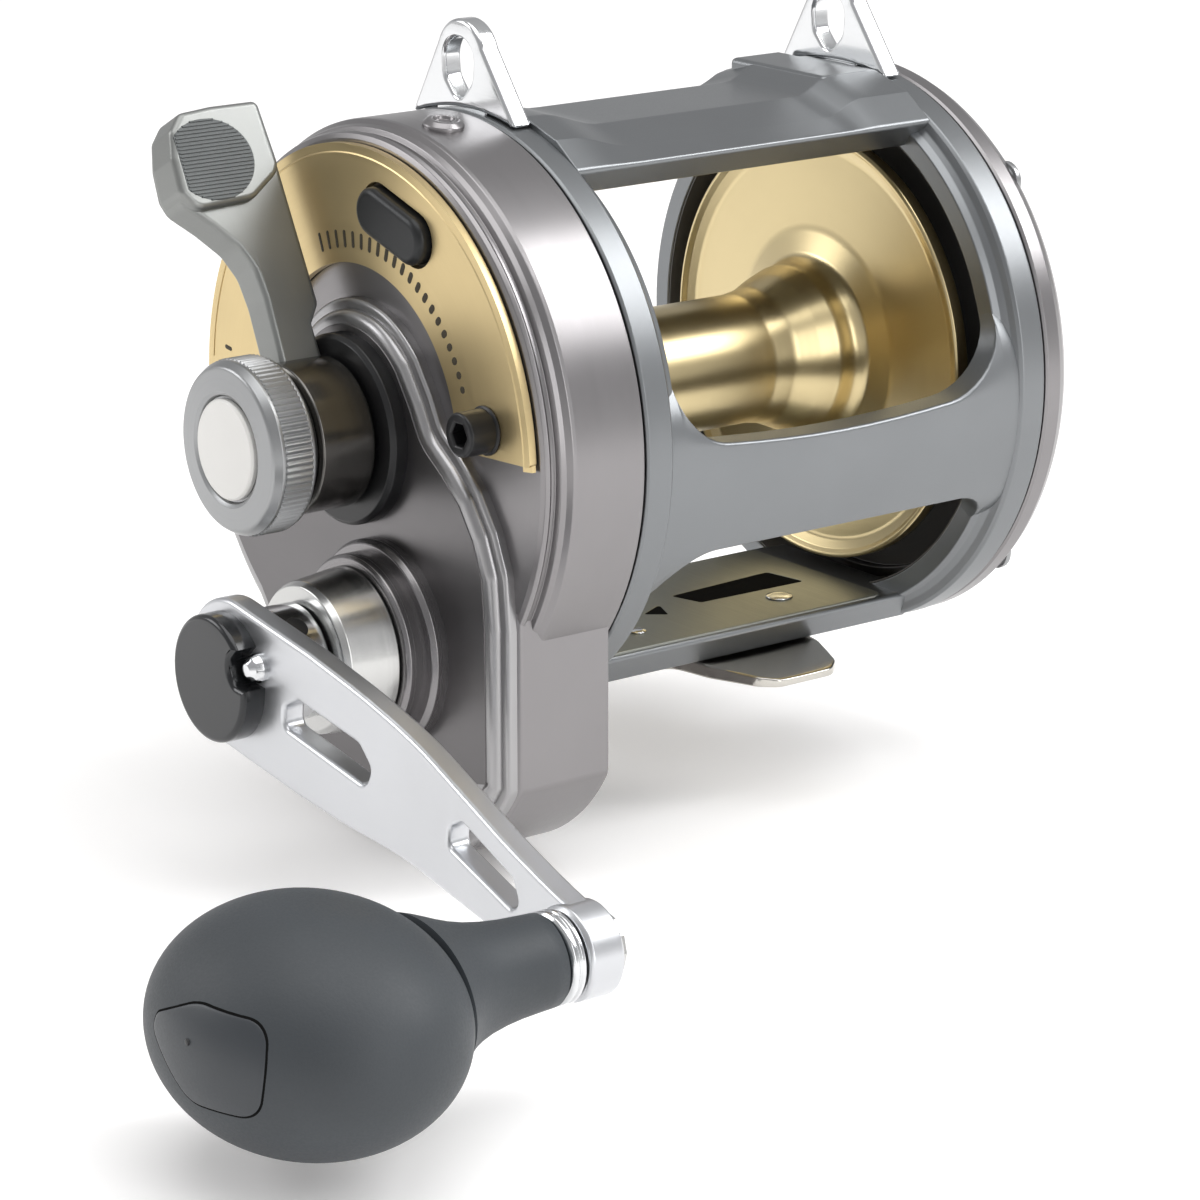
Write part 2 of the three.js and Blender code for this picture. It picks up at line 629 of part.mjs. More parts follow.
function gripBadge() {
  return geometryOf(solidOf(badgeBlock(0, BADGE_FLOOR_Y - GAP)).intersect(solidOf(ovalSkin())));
}

function knobPost() {
  const armBack = POST_Y + ARM_THICK + 1;
  return joined(
    rod(3, GRIP_Y - 7, armBack + 1, 0, 0, TINY_SEGMENTS),
    rod(5, armBack + GAP, armBack + 1.6, 0, 0, TINY_SEGMENTS),
  );
}

function knobCollar() {
  const far = POST_Y - 1.2;
  return turned([
    [3.3, far], [6.5, far], [6.8, far - 0.3], [6.8, far - 2.2], [6.4, far - 2.6], [3.3, far - 2.6],
  ], SMALL_SEGMENTS);
}

// ---------------------------------------------------------------- drag lever and preset knob
const HUB_FRONT_Y = -35.5;
const HUB_BACK_Y = -25;

// The lever's side view, as [y, distance from the spool axis].
function leverSide() {
  return [
    [-22.8, 20], [-22.8, 53.4], [-39, 53.2], [-42.4, 49.6], [-43, 40.5], [-42, 38.2],
    [-36.4, 33.4], [-33.4, 28.6], [-32.6, 22], [-32.8, 8], [-25.2, 8], [-25.2, 17],
  ];
}

function dragLever() {
  const radial = leverSide().map(([y, s]) => new THREE.Vector2(s, y));
  const depth = 7;
  const arm = new THREE.ExtrudeGeometry(new THREE.Shape(radial), { depth, bevelEnabled: false });
  // Drawn with s along X and y along Y; the thickness lies along Z, across the lever.
  arm.translate(0, 0, -depth / 2);
  const hub = turned([
    [7.6, HUB_BACK_Y], [LEVER_HUB_R, HUB_BACK_Y], [LEVER_HUB_R, HUB_FRONT_Y + 0.5],
    [LEVER_HUB_R - 0.6, HUB_FRONT_Y], [7.6, HUB_FRONT_Y],
  ], 28);
  return joined(cut(arm, rod(8, -50, -20, 0, 0, SMALL_SEGMENTS)), hub);
}

function leverCam() {
  const body = rod(9.4, -24.4, -20.5, 0, 0, SMALL_SEGMENTS);
  const key = rod(7.2, -26, -24, 0, 0, SMALL_SEGMENTS);
  return cut(joined(body, key), rod(SHAFT_R + GAP, -30, -10, 0, 0, SMALL_SEGMENTS));
}

function presetKnob() {
  const ridges = 28;
  const points = [];
  for (let i = 0; i < ridges; i++) {
    points.push(polar(14, (i * 360) / ridges));
    points.push(polar(13.5, ((i + 0.5) * 360) / ridges));
  }
  const knurl = plate(outline(points), -43.2, -37.4);
  const front = turned([[0, -45.2], [12.6, -45.2], [13.4, -43.2], [0, -43.2]], ridges);
  const back = turned([[0, -37.4], [13.4, -37.4], [11.6, -36.2], [0, -36.2]], ridges);
  const stem = rod(6.6, -36.5, -34.4, 0, 0, SMALL_SEGMENTS);
  const shaftBore = rod(SHAFT_R + GAP, SHAFT_END_Y - 1, -20, 0, 0, SMALL_SEGMENTS);
  const capSeat = rod(8.3, -46, -44.4, 0, 0, 32);
  return cut(joined(knurl, front, back, stem), shaftBore, capSeat);
}

// ---------------------------------------------------------------- reel foot
function reelFoot() {
  const half = FOOT_LENGTH / 2;
  const wing = FOOT_WIDTH / 2;
  const crossHalf = 11;
  const shape = new THREE.Shape([
    [crossHalf, -wing], [crossHalf, -12.5], [half - 2, -8], [half, -6.6], [half, 6.6], [half - 2, 8],
    [crossHalf, 12.5], [crossHalf, wing], [-crossHalf, wing], [-crossHalf, 12.5], [2 - half, 8], [-half, 6.6],
    [-half, -6.6], [2 - half, -8], [-crossHalf, -12.5], [-crossHalf, -wing],
  ].map(([x, y]) => new THREE.Vector2(x, y)));
  const flat = new THREE.ExtrudeGeometry(shape, { depth: FOOT_THICK, bevelEnabled: false });
  flat.translate(0, FOOT_Y, -AXIS_HEIGHT);
  const holes = FOOT_SCREWS.map(([x, y]) => {
    const hole = new THREE.CylinderGeometry(1.7, 1.7, 20, 12).rotateX(Math.PI / 2);
    return hole.translate(x, y, BASE_BOTTOM_Z);
  });
  const seats = FOOT_SCREWS.map(([x, y]) => {
    const seat = new THREE.CylinderGeometry(3.1, 3.1, 3, TINY_SEGMENTS).rotateX(Math.PI / 2);
    return seat.translate(x, y, -AXIS_HEIGHT);
  });
  return cut(flat, ...holes, ...seats);
}

// ---------------------------------------------------------------- assembly
add("frame", frameGeometry(), frameGrey);
add("gear_side_plate", gearSidePlate(), titaniumGrey);
add("left_side_plate", leftSidePlate(), titaniumGrey);
add("quadrant_plate", quadrantPlate(), champagneGold);
add("reel_foot", reelFoot(), brightSteel);
add("harness_lug_right", harnessLug(LUG_NEAR_Y), brightSteel);
add("harness_lug_left", harnessLug(LUG_FAR_Y), brightSteel);

const strikeButton = joined(plate(strikeOutline(0), -22.2, -18), plate(strikeOutline(-1), -18.5, -15.8));
add("strike_button", strikeButton, gunmetal);
const fullStop = screwGeometry(3.5, 5, 1.5, 6.4, 1.9).rotateX(Math.PI);
add("full_stop", fullStop.translate(FULL_STOP[0], -20.1, FULL_STOP[1]), blackPart);

add("spool", spoolGeometry(), polishedGold);
add("spool_shaft", rod(SHAFT_R, SHAFT_END_Y, 86.6, 0, 0, SMALL_SEGMENTS), brightSteel);
add("spool_bearing_right", spoolBearing(4.6), brightSteel);
add("spool_bearing_left", spoolBearing(73.4), brightSteel);
add("drag_disc", ring(10, 34, 1.4, 3.9, 36), carbonDisc);
add("pressure_plate", ring(SHAFT_R + GAP, 34, -2.4, 0, 36), brightSteel);
add("spring_washer_1", coneWasher(-29.8, 0.8), brightSteel);
add("spring_washer_2", coneWasher(-27.2, -0.8), brightSteel);
add("preset_spring", coilSpring(5.6, 0.7, -33.3, -30.9, 2), brightSteel);
add("click_gear", clickGear(), gearBronze);

const tongue = plate(outline([[-22, -1.6], [-19, -1.6], [-16, 0], [-19, 1.6], [-22, 1.6]]), 79.2, 81.0);
add("click_tongue", tongue, brightSteel);
const clickCap = rod(4.2, 89.8, 92.2, ...CLICK_AT, SMALL_SEGMENTS);
const clickStem = rod(1.6, 81.3, 90.4, ...CLICK_AT, TINY_SEGMENTS);
add("click_button", joined(clickCap, clickStem), blackPart);

add("pinion_gear", pinionGear(), gearBronze);
add("pinion_bearing", ring(5.3, 8, -19.6, -16, SMALL_SEGMENTS), brightSteel);
add("anti_reverse_pawl", antiReversePawl(), brightSteel);

const crank = new THREE.Group();
crank.position.set(CRANK_X, 0, CRANK_Z);
crank.rotation.y = -HANDLE_ANGLE * DEG;
reel.add(crank);
const shaftOnly = new THREE.Group();
shaftOnly.position.set(CRANK_X, 0, CRANK_Z);
reel.add(shaftOnly);

add("main_gear", mainGear(), gearBronze, shaftOnly);
add("ratchet_wheel", ratchetWheel(), brightSteel, shaftOnly);
add("drive_shaft", driveShaft(), brightSteel, shaftOnly);
add("shaft_bearing_inner", ring(5.3, 8, -22, -18.2, SMALL_SEGMENTS), brightSteel, shaftOnly);
add("shaft_bearing_outer", ring(5.3, 8, -27.8, -24, SMALL_SEGMENTS), brightSteel, shaftOnly);
add("shaft_sleeve", shaftSleeve(), titaniumGrey, shaftOnly);
add("hub_collar", hubCollar(), brightSteel, crank);
add("handle_arm", handleArm(), satinSilver, crank);
add("handle_end_cap", endCap(), gunmetal, crank);
add("lock_screw", lockScrew(), brightSteel, crank);

const knob = new THREE.Group();
knob.position.set(HANDLE_LENGTH, 0, 0);
knob.rotation.y = HANDLE_ANGLE * DEG;
crank.add(knob);
add("knob_post", knobPost(), brightSteel, knob);
add("knob_collar", knobCollar(), brightSteel, knob);
add("grip", gripGeometry(), slateRubber, knob);
add("grip_badge", gripBadge(), slateRubber, knob);

const lever = new THREE.Group();
lever.rotation.y = -LEVER_ANGLE * DEG;
reel.add(lever);
add("drag_lever", dragLever(), leverGrey, lever);
add("lever_cam", leverCam(), brightSteel, lever);
add("preset_knob", presetKnob(), knobGrey);
add("knob_cap", rod(8, -45.6, -44.7, 0, 0, 32), paleDisc);

LEFT_SCREWS.forEach(([x, z], i) => {
  const screw = screwGeometry(2.7, 2.0, 1.2, 8.4).translate(x, FRAME_WIDTH + GAP + 3.5, z);
  add(`left_plate_screw_${i + 1}`, screw, brightSteel);
});
FOOT_SCREWS.forEach(([x, y], i) => {
  const screw = screwGeometry(2.8, 1.0, 1.3, 5.6).rotateX(-Math.PI / 2).translate(x, y, -AXIS_HEIGHT + 1.2);
  add(`foot_screw_${i + 1}`, screw, brightSteel);
});
const topScrew = screwGeometry(3.4, 1.3, 1.2, 3.6).rotateX(Math.PI / 2).translate(0, TOP_SCREW_Y, BODY_R + 0.1);
add("side_plate_screw", topScrew.rotateY(TOP_SCREW_TURN * DEG), brightSteel);

const trollingReel = new THREE.Group();
trollingReel.add(reel);
export default trollingReel;
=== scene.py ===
"""A lever-drag trolling reel on a pale studio floor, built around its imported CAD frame.

Pieces are drawn in the reel's own millimetres: x forward, y from the joint between the gear side
plate and the frame (the crank is on the -y side), z up from the spool axis. TO_ROW places them.
"""

import json
import math

import bmesh
import bpy
from mathutils import Matrix, Vector
from mathutils.geometry import tessellate_polygon


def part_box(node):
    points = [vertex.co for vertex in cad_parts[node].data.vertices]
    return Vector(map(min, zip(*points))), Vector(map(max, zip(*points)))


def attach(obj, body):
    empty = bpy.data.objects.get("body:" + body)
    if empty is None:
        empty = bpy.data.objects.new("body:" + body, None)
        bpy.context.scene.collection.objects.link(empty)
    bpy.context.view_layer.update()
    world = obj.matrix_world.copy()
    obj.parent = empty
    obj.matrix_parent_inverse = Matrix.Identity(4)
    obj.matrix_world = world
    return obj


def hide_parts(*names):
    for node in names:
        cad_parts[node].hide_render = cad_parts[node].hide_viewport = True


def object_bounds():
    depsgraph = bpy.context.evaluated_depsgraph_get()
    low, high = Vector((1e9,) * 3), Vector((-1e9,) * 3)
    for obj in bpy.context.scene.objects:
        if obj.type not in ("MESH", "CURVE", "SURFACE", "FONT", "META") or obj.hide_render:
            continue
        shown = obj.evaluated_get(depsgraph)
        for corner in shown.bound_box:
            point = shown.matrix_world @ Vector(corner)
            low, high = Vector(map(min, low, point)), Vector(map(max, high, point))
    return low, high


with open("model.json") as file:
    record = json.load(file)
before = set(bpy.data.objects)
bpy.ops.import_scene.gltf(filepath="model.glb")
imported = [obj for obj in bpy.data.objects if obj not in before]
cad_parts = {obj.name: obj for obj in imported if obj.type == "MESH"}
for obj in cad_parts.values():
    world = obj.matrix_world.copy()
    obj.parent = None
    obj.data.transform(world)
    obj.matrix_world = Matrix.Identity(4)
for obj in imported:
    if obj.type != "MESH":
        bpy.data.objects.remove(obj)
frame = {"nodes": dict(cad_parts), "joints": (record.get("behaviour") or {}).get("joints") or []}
cad_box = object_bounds()

# ------------------------------------------------------------------ places and driving sizes
MM = 0.001
JOINTS = {joint["name"]: joint for joint in frame["joints"]}
SPOOL_AXIS = Vector(JOINTS["spool_spin"]["pos_m"])
CRANK_AXIS = Vector(JOINTS["handle_spin"]["pos_m"])
KNOB_AXIS = Vector(JOINTS["grip_spin"]["pos_m"])
SEAM_CLEARANCE = 0.15  # the frame's near ring starts this far behind the joint
SEAM_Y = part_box("frame")[0].y / MM - SEAM_CLEARANCE
ORIGIN = Vector((SPOOL_AXIS.x, SEAM_Y * MM, SPOOL_AXIS.z))
TO_ROW = Matrix.Translation(ORIGIN) @ Matrix.Scale(MM, 4)


def reel_point(point):
    """(x, z) in reel millimetres of a point on an axis along Y."""
    return ((point.x - ORIGIN.x) / MM, (point.z - ORIGIN.z) / MM)


CRANK = reel_point(CRANK_AXIS)
KNOB = reel_point(KNOB_AXIS)
BODY_R = 48.0
FRAME_WIDTH = 82.4
RING_W = 8.0
FAR_LIP_Y = FRAME_WIDTH - RING_W
BAR_ROOT = 3  # how far a bar runs into each ring
LIP_R = 45.2
BORE_R = 41.8
CAGE_R = 47.4
FLANGE_R = 36.8
ARBOR_R = 10.9
QUADRANT_R = 44.8
QUADRANT_BORE_R = 26.0
FACE_Y = -18.2
HOUSING_Y = -21.5
LOBE_R = 35.6
LOBE_FRONT_X = 39.6
FACET_SAG = 0.08  # the CAD lobe's facets lie this far inside its true round
BASE_TOP_Z = -39.2
BASE_BOTTOM_Z = -44.6
FOOT_Y = -SEAM_Y
FOOT_TOP_Z = -44.9
FOOT_BOTTOM_Z = -47.3
LEVER_ANGLE = 118.0
ARM_FACE_Y = -51.3
ARM_THICK = 4.0
ARM_LENGTH = math.hypot(KNOB[0] - CRANK[0], KNOB[1] - CRANK[1])
ARM_ANGLE = math.atan2(KNOB[1] - CRANK[1], KNOB[0] - CRANK[0])
ARM_BEND = 48.0
ARM_FLARE = 0.15
POST_Y = ARM_FACE_Y - ARM_FLARE * (ARM_LENGTH - ARM_BEND)
GRIP_Y = -101.5

X, Y, Z = 0, 1, 2
FINE = 160  # segments round a large turned piece
MEDIUM = 96
SMALL = 48


# ------------------------------------------------------------------ outlines
def polar(radius, degrees, centre=(0, 0)):
    angle = math.radians(degrees)
    return (centre[0] + radius * math.cos(angle), centre[1] + radius * math.sin(angle))


def arc(radius, start, end, steps, centre=(0, 0)):
    return [polar(radius, start + (end - start) * i / steps, centre) for i in range(steps + 1)]


def circle(radius, centre=(0, 0), steps=48):
    return arc(radius, 0, 360 - 360 / steps, steps - 1, centre)


def soften(points, steps=4):
    """Rounds a closed path's corners. A point is (a, b) or (a, b, corner radius)."""
    path = []
    count = len(points)
    for i, point in enumerate(points):
        radius = point[2] if len(point) > 2 else 0
        if radius <= 0:
            path.append((point[0], point[1]))
            continue
        here = Vector(point[:2])
        back = Vector(points[i - 1][:2]) - here
        ahead = Vector(points[(i + 1) % count][:2]) - here
        reach = 0.48 * min(back.length, ahead.length)
        back.normalize()
        ahead.normalize()
        half = back.angle(ahead) / 2
        if half > math.radians(88.5):
            path.append((point[0], point[1]))
            continue
        tangent = min(radius / math.tan(half), reach)
        radius = tangent * math.tan(half)
        centre = here + (back + ahead).normalized() * (radius / math.sin(half))
        first = here + back * tangent - centre
        last = here + ahead * tangent - centre
        start = math.atan2(first.y, first.x)
        turn = (math.atan2(last.y, last.x) - start + math.pi) % (2 * math.pi) - math.pi
        for k in range(steps + 1):
            angle = start + turn * k / steps
            path.append((centre.x + radius * math.cos(angle), centre.y + radius * math.sin(angle)))
    return path


def area_of(loop):
    return 0.5 * sum(a[0] * b[1] - b[0] * a[1] for a, b in zip(loop, loop[1:] + loop[:1]))


def counterclockwise(loop):
    return list(loop) if area_of(loop) > 0 else list(reversed(loop))


def inset(loop, distance):
    """Moves a counterclockwise loop inwards along its corner bisectors."""
    moved = []
    count = len(loop)
    for i, point in enumerate(loop):
        here = Vector(point)
        before = (here - Vector(loop[i - 1])).normalized()
        after = (Vector(loop[(i + 1) % count]) - here).normalized()
        normal_before = Vector((-before.y, before.x))
        normal_after = Vector((-after.y, after.x))
        share = max(1 + normal_before.dot(normal_after), 0.35)
        shifted = here + (normal_before + normal_after) * (distance / share)
        moved.append((shifted.x, shifted.y))
    return moved


# ------------------------------------------------------------------ solids, as bmesh in reel millimetres
def lathe(profile, segments=FINE, centre=(0, 0)):
    """A body of revolution about an axis along Y, from a closed loop of (radius, y) points."""
    bm = bmesh.new()
    rings = []
    for radius, y in profile:
        if radius < 1e-6:
            rings.append([bm.verts.new((centre[0], y, centre[1]))])
            continue
        ring = []
        for k in range(segments):
            x, z = polar(radius, 360 * k / segments, centre)
            ring.append(bm.verts.new((x, y, z)))
        rings.append(ring)
    for a, b in zip(rings, rings[1:] + rings[:1]):
        if len(a) == 1 and len(b) == 1:
            continue
        for k in range(segments):
            n = (k + 1) % segments
            corners = [a[k % len(a)], a[n % len(a)], b[n % len(b)], b[k % len(b)]]
            face = [v for i, v in enumerate(corners) if v not in corners[:i]]
            if len(face) > 2:
                bm.faces.new(face)
    return bm


def turned(profile, segments=FINE, centre=(0, 0)):
    """A body of revolution whose profile's corners are rounded."""
    return lathe(soften(profile), segments, centre)


def stack(layers):
    """Joins loops of equal length, given as lists of 3-D points, into a closed skin."""
    bm = bmesh.new()
    rows = [[bm.verts.new(p) for p in layer] for layer in layers]
    for a, b in zip(rows, rows[1:]):
        for k in range(len(a)):
            n = (k + 1) % len(a)
            bm.faces.new((a[k], a[n], b[n], b[k]))
    bm.faces.new(rows[0])
    bm.faces.new(list(reversed(rows[-1])))
    return bm


def slab(loop, y0, y1, front=0.4, back=0.4, holes=(), steps=3):
    """A plate with rounded edges: an outline in (x, z), from y0, its outer face, to y1."""
    levels = []
    for k in range(steps + 1):
        angle = math.pi / 2 * k / steps
        levels.append((y0 + front * (1 - math.cos(angle)), front * (1 - math.sin(angle))))
    for k in range(steps + 1):
        angle = math.pi / 2 * (1 - k / steps)
        levels.append((y1 - back * (1 - math.cos(angle)), back * (1 - math.sin(angle))))
    loops = [(counterclockwise(loop), 1)] + [(counterclockwise(hole), -1) for hole in holes]
    bm = bmesh.new()
    caps = ([], [])
    for points, sign in loops:
        rows = []
        for y, distance in levels:
            shape = inset(points, sign * distance) if distance > 1e-6 else points
            rows.append([bm.verts.new((x, y, z)) for x, z in shape])
        for a, b in zip(rows, rows[1:]):
            for k in range(len(a)):
                n = (k + 1) % len(a)
                bm.faces.new((a[k], a[n], b[n], b[k]))
        caps[0].append(rows[0])
        caps[1].append(rows[-1])
    for cap in caps:
        flat = [v for row in cap for v in row]
        for triangle in tessellate_polygon([[Vector((v.co.x, v.co.z, 0)) for v in row] for row in cap]):
            corners = [flat[i] for i in triangle]
            if bm.faces.get(corners) is None:
                bm.faces.new(corners)
    return bm


def block(x0, x1, y0, y1, z0, z1, edge=0.5, steps=3):
    """A box with rounded edges."""
    bm = bmesh.new()
    bmesh.ops.create_cube(bm, size=1)
    size = Matrix.Diagonal((x1 - x0, y1 - y0, z1 - z0, 1))
    middle = Matrix.Translation(((x0 + x1) / 2, (y0 + y1) / 2, (z0 + z1) / 2))
    bm.transform(middle @ size)
    bmesh.ops.bevel(bm, geom=bm.edges[:], offset=edge, segments=steps, affect="EDGES", profile=0.5)
    return bm


def sliced(bm, axis, places):
    """Cuts a mesh across an axis at each place, so that it can be bent."""
    normal = [1.0 if i == axis else 0.0 for i in range(3)]
    for place in places:
        parts = bm.verts[:] + bm.edges[:] + bm.faces[:]
        bmesh.ops.bisect_plane(bm, geom=parts, plane_co=[place * n for n in normal], plane_no=normal)
    return bm


def joined(*parts):
    """One bmesh that holds all the given ones."""
    whole = bmesh.new()
    for part in parts:
        mesh = bpy.data.meshes.new("part")
        part.to_mesh(mesh)
        part.free()
        whole.from_mesh(mesh)
        bpy.data.meshes.remove(mesh)
    return whole


def moved(bm, matrix):
    bm.transform(matrix)
    return bm


def piece(name, bm, finish_name, body, replaces=(), sharp=32, weighted=True):
    """Places a bmesh as an object that rides on a body and stands for CAD nodes."""
    bmesh.ops.remove_doubles(bm, verts=bm.verts, dist=1e-4)
    bmesh.ops.recalc_face_normals(bm, faces=bm.faces)
    bm.transform(TO_ROW)
    mesh = bpy.data.meshes.new(name)
    bm.to_mesh(mesh)
    bm.free()
    mesh.shade_smooth()
    mesh.set_sharp_from_angle(angle=math.radians(sharp))
    mesh.materials.append(MATERIALS[finish_name])
    made = bpy.data.objects.new(name, mesh)
    bpy.context.scene.collection.objects.link(made)
    if weighted:
        made.modifiers.new("flat_faces", "WEIGHTED_NORMAL").keep_sharp = True
    if replaces:
        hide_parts(*replaces)
    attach(made, body)
    return made


# ------------------------------------------------------------------ materials
class Graph:
    """Short calls for a material's nodes."""

    def __init__(self, name):
        self.material = bpy.data.materials.new(name)
        self.material.use_nodes = True
        self.tree = self.material.node_tree
        self.shader = self.tree.nodes["Principled BSDF"]
        self.place = self.add("ShaderNodeTexCoord").outputs["Object"]

    def add(self, kind, **settings):
        node = self.tree.nodes.new(kind)
        for key, value in settings.items():
            setattr(node, key, value)
        return node

    def link(self, output, node, socket):
        self.tree.links.new(output, node.inputs[socket])

    def scaled(self, vector, scale):
        node = self.add("ShaderNodeVectorMath", operation="MULTIPLY")
        self.link(vector, node, 0)
        node.inputs[1].default_value = scale
        return node.outputs[0]

    def around(self, centre):
        """(distance from an axis along Y, y, 0): what turning marks follow."""
        shift = self.add("ShaderNodeVectorMath", operation="SUBTRACT")
        self.link(self.place, shift, 0)
        shift.inputs[1].default_value = centre
        flat = self.scaled(shift.outputs[0], (1, 0, 1))
        length = self.add("ShaderNodeVectorMath", operation="LENGTH")
        self.link(flat, length, 0)
        split = self.add("ShaderNodeSeparateXYZ")
        self.link(self.place, split, 0)
        both = self.add("ShaderNodeCombineXYZ")
        self.link(length.outputs["Value"], both, "X")
        self.link(split.outputs["Y"], both, "Y")
        return both.outputs[0]

    def noise(self, vector, scale=1.0, detail=3.0):
        node = self.add("ShaderNodeTexNoise")
        self.link(vector, node, "Vector")
        node.inputs["Scale"].default_value = scale
        node.inputs["Detail"].default_value = detail
        return node.outputs["Fac"]

    def ramp(self, value, low, high, start=0.3, end=0.7):
        node = self.add("ShaderNodeMapRange")
        self.link(value, node, "Value")
        node.inputs["From Min"].default_value = start
        node.inputs["From Max"].default_value = end
        node.inputs["To Min"].default_value = low
        node.inputs["To Max"].default_value = high
        return node.outputs["Result"]

    def mix(self, factor, first, second):
        node = self.add("ShaderNodeMix", data_type="RGBA")
        self.link(factor, node, "Factor")
        node.inputs[6].default_value = (*first, 1)
        node.inputs[7].default_value = (*second, 1)
        return node.outputs[2]

    def bump(self, height, strength, distance):
        node = self.add("ShaderNodeBump")
        node.inputs["Strength"].default_value = strength
        node.inputs["Distance"].default_value = distance
        self.link(height, node, "Height")
        self.link(node.outputs[0], self.shader, "Normal")


def shade(color, factor):
    return tuple(min(1.0, c * factor) for c in color)


def finish(name, color, roughness, metallic, grain, strength, tone, centre=SPOOL_AXIS, coat=0.0,
           spread=0.05, specular=0.5):
    """Drifting tone and roughness, and a fine grain: turned, brushed, blasted or moulded."""
    graph = Graph(name)
    shader = graph.shader
    shader.inputs["Metallic"].default_value = metallic
    shader.inputs["Specular IOR Level"].default_value = specular
    shader.inputs["Coat Weight"].default_value = coat
    shader.inputs["Coat Roughness"].default_value = 0.15
    drift = graph.noise(graph.place, 45, 3)
    if grain == "turned":
        fine = graph.noise(graph.scaled(graph.around(centre), (2600, 2600, 1)), 1, 2)
    elif grain == "brushed":
        fine = graph.noise(graph.scaled(graph.place, (120, 3000, 3000)), 1, 2)
    elif grain == "blasted":
        fine = graph.noise(graph.place, 5200, 2)
    else:
        fine = graph.noise(graph.place, 2600, 4)
    tones = graph.mix(graph.ramp(drift, 0, 1), shade(color, 1 - tone), shade(color, 1 + tone))
    graph.link(tones, shader, "Base Color")
    graph.link(graph.ramp(fine, roughness - spread, roughness + spread), shader, "Roughness")
    graph.bump(fine, strength, 0.00006)
    return graph.material


GREY = (0.261, 0.251, 0.255)
FRAME_GREY = (0.221, 0.23, 0.238)
GOLD = (0.648, 0.513, 0.275)
SPOOL_GOLD = (0.66, 0.545, 0.31)

# piece finish: (name, colour, roughness, metallic, grain, grain strength, tone drift, other settings)
FINISHES = {
    "side_plates": ("side_plate_grey", GREY, 0.30, 0.92, "turned", 0.035, 0.03, {"spread": 0.02}),
    # housing: the side plate grey darkened to 0.64, painted shade on the raised housing face
    "housing": ("housing_grey", shade(GREY, 0.64), 0.30, 0.92, "brushed", 0.02, 0.04, {"spread": 0.02}),
    "frame": ("frame_grey", FRAME_GREY, 0.36, 0.9, "blasted", 0.05, 0.03, {"spread": 0.03}),
    "quadrant": ("champagne_gold", GOLD, 0.36, 0.95, "turned", 0.05, 0.04, {"spread": 0.03}),
    "spool": ("polished_gold", SPOOL_GOLD, 0.30, 1.0, "turned", 0.02, 0.02, {"spread": 0.02}),
    "arm": ("satin_silver", (0.60, 0.61, 0.63), 0.32, 0.95, "brushed", 0.02, 0.02, {"spread": 0.02}),
    "bright_steel": ("polished_steel", (0.70, 0.71, 0.72), 0.14, 1.0, "brushed", 0.01, 0.02,
        {"spread": 0.02}),
    "foot": ("foot_steel", (0.52, 0.50, 0.46), 0.17, 1.0, "brushed", 0.02, 0.05, {"spread": 0.03}),
    "turned_steel": ("turned_steel", (0.55, 0.55, 0.54), 0.24, 1.0, "turned", 0.02, 0.02,
                     {"centre": CRANK_AXIS, "spread": 0.02}),
    "gunmetal": ("gunmetal", (0.026, 0.027, 0.028), 0.36, 0.6, "blasted", 0.12, 0.07, {}),
    "cap": ("cap_black", (0.022, 0.023, 0.025), 0.20, 0.5, "turned", 0.05, 0.05,
            {"centre": CRANK_AXIS, "coat": 0.3, "spread": 0.04}),
    # ridge: the side plate grey made lighter, a painted highlight along the housing's rounded rim
    "ridge": ("ridge_grey", (0.37, 0.365, 0.37), 0.30, 0.92, "blasted", 0.02, 0.03, {"spread": 0.02}),
    "base": ("base_grey", (0.27, 0.28, 0.255), 0.42, 0.8, "brushed", 0.03, 0.05, {"spread": 0.03}),
    # pit: a dull near-black, painted shade in openings and grooves
    "pit": ("pit_black", (0.006, 0.006, 0.006), 0.9, 0.0, "blasted", 0.05, 0.07, {"specular": 0.05}),
    # liner: a dull grey darker than the plates' metal, painted shade inside the spool's well
    "liner": ("liner_grey", (0.15, 0.145, 0.138), 0.6, 0.35, "turned", 0.05, 0.04, {}),
    "black": ("black_oxide", (0.010, 0.010, 0.011), 0.34, 0.2, "blasted", 0.12, 0.07, {}),
    # ink: the engraving fill, also painted shade in the gap round the strike button
    "ink": ("engraving_fill", (0.035, 0.026, 0.012), 0.6, 0.0, "blasted", 0.1, 0.07, {}),
    "lever": ("lever_grey", (0.25, 0.256, 0.248), 0.38, 0.85, "blasted", 0.08, 0.03, {"spread": 0.03}),
    "thumb": ("thumb_pad_grey", (0.10, 0.106, 0.106), 0.5, 0.6, "blasted", 0.25, 0.07, {}),
    "hub": ("hub_grey", (0.135, 0.13, 0.122), 0.24, 0.95, "turned", 0.03, 0.03, {"spread": 0.03}),
    "knob": ("knob_grey", (0.33, 0.335, 0.34), 0.34, 0.9, "turned", 0.04, 0.03, {"spread": 0.03}),
    "disc": ("pale_disc", (0.72, 0.71, 0.685), 0.45, 0.1, "turned", 0.15, 0.03, {}),
    "rubber": ("slate_rubber", (0.037, 0.043, 0.049), 0.56, 0.0, "moulded", 0.30, 0.10, {}),
    "badge": ("badge_slate", (0.034, 0.039, 0.045), 0.40, 0.0, "moulded", 0.15, 0.06, {}),
    "carbon": ("carbon_washer", (0.03, 0.03, 0.032), 0.55, 0.1, "brushed", 0.4, 0.07, {}),
    "bronze": ("cut_bronze", (0.50, 0.34, 0.14), 0.28, 1.0, "turned", 0.1, 0.07, {}),
    "crank_grey": ("crank_boss_grey", shade(GREY, 0.95), 0.25, 0.92, "turned", 0.04, 0.03,
                   {"centre": CRANK_AXIS, "spread": 0.03}),
}
MATERIALS = {key: finish(*row[:-1], **row[-1]) for key, row in FINISHES.items()}


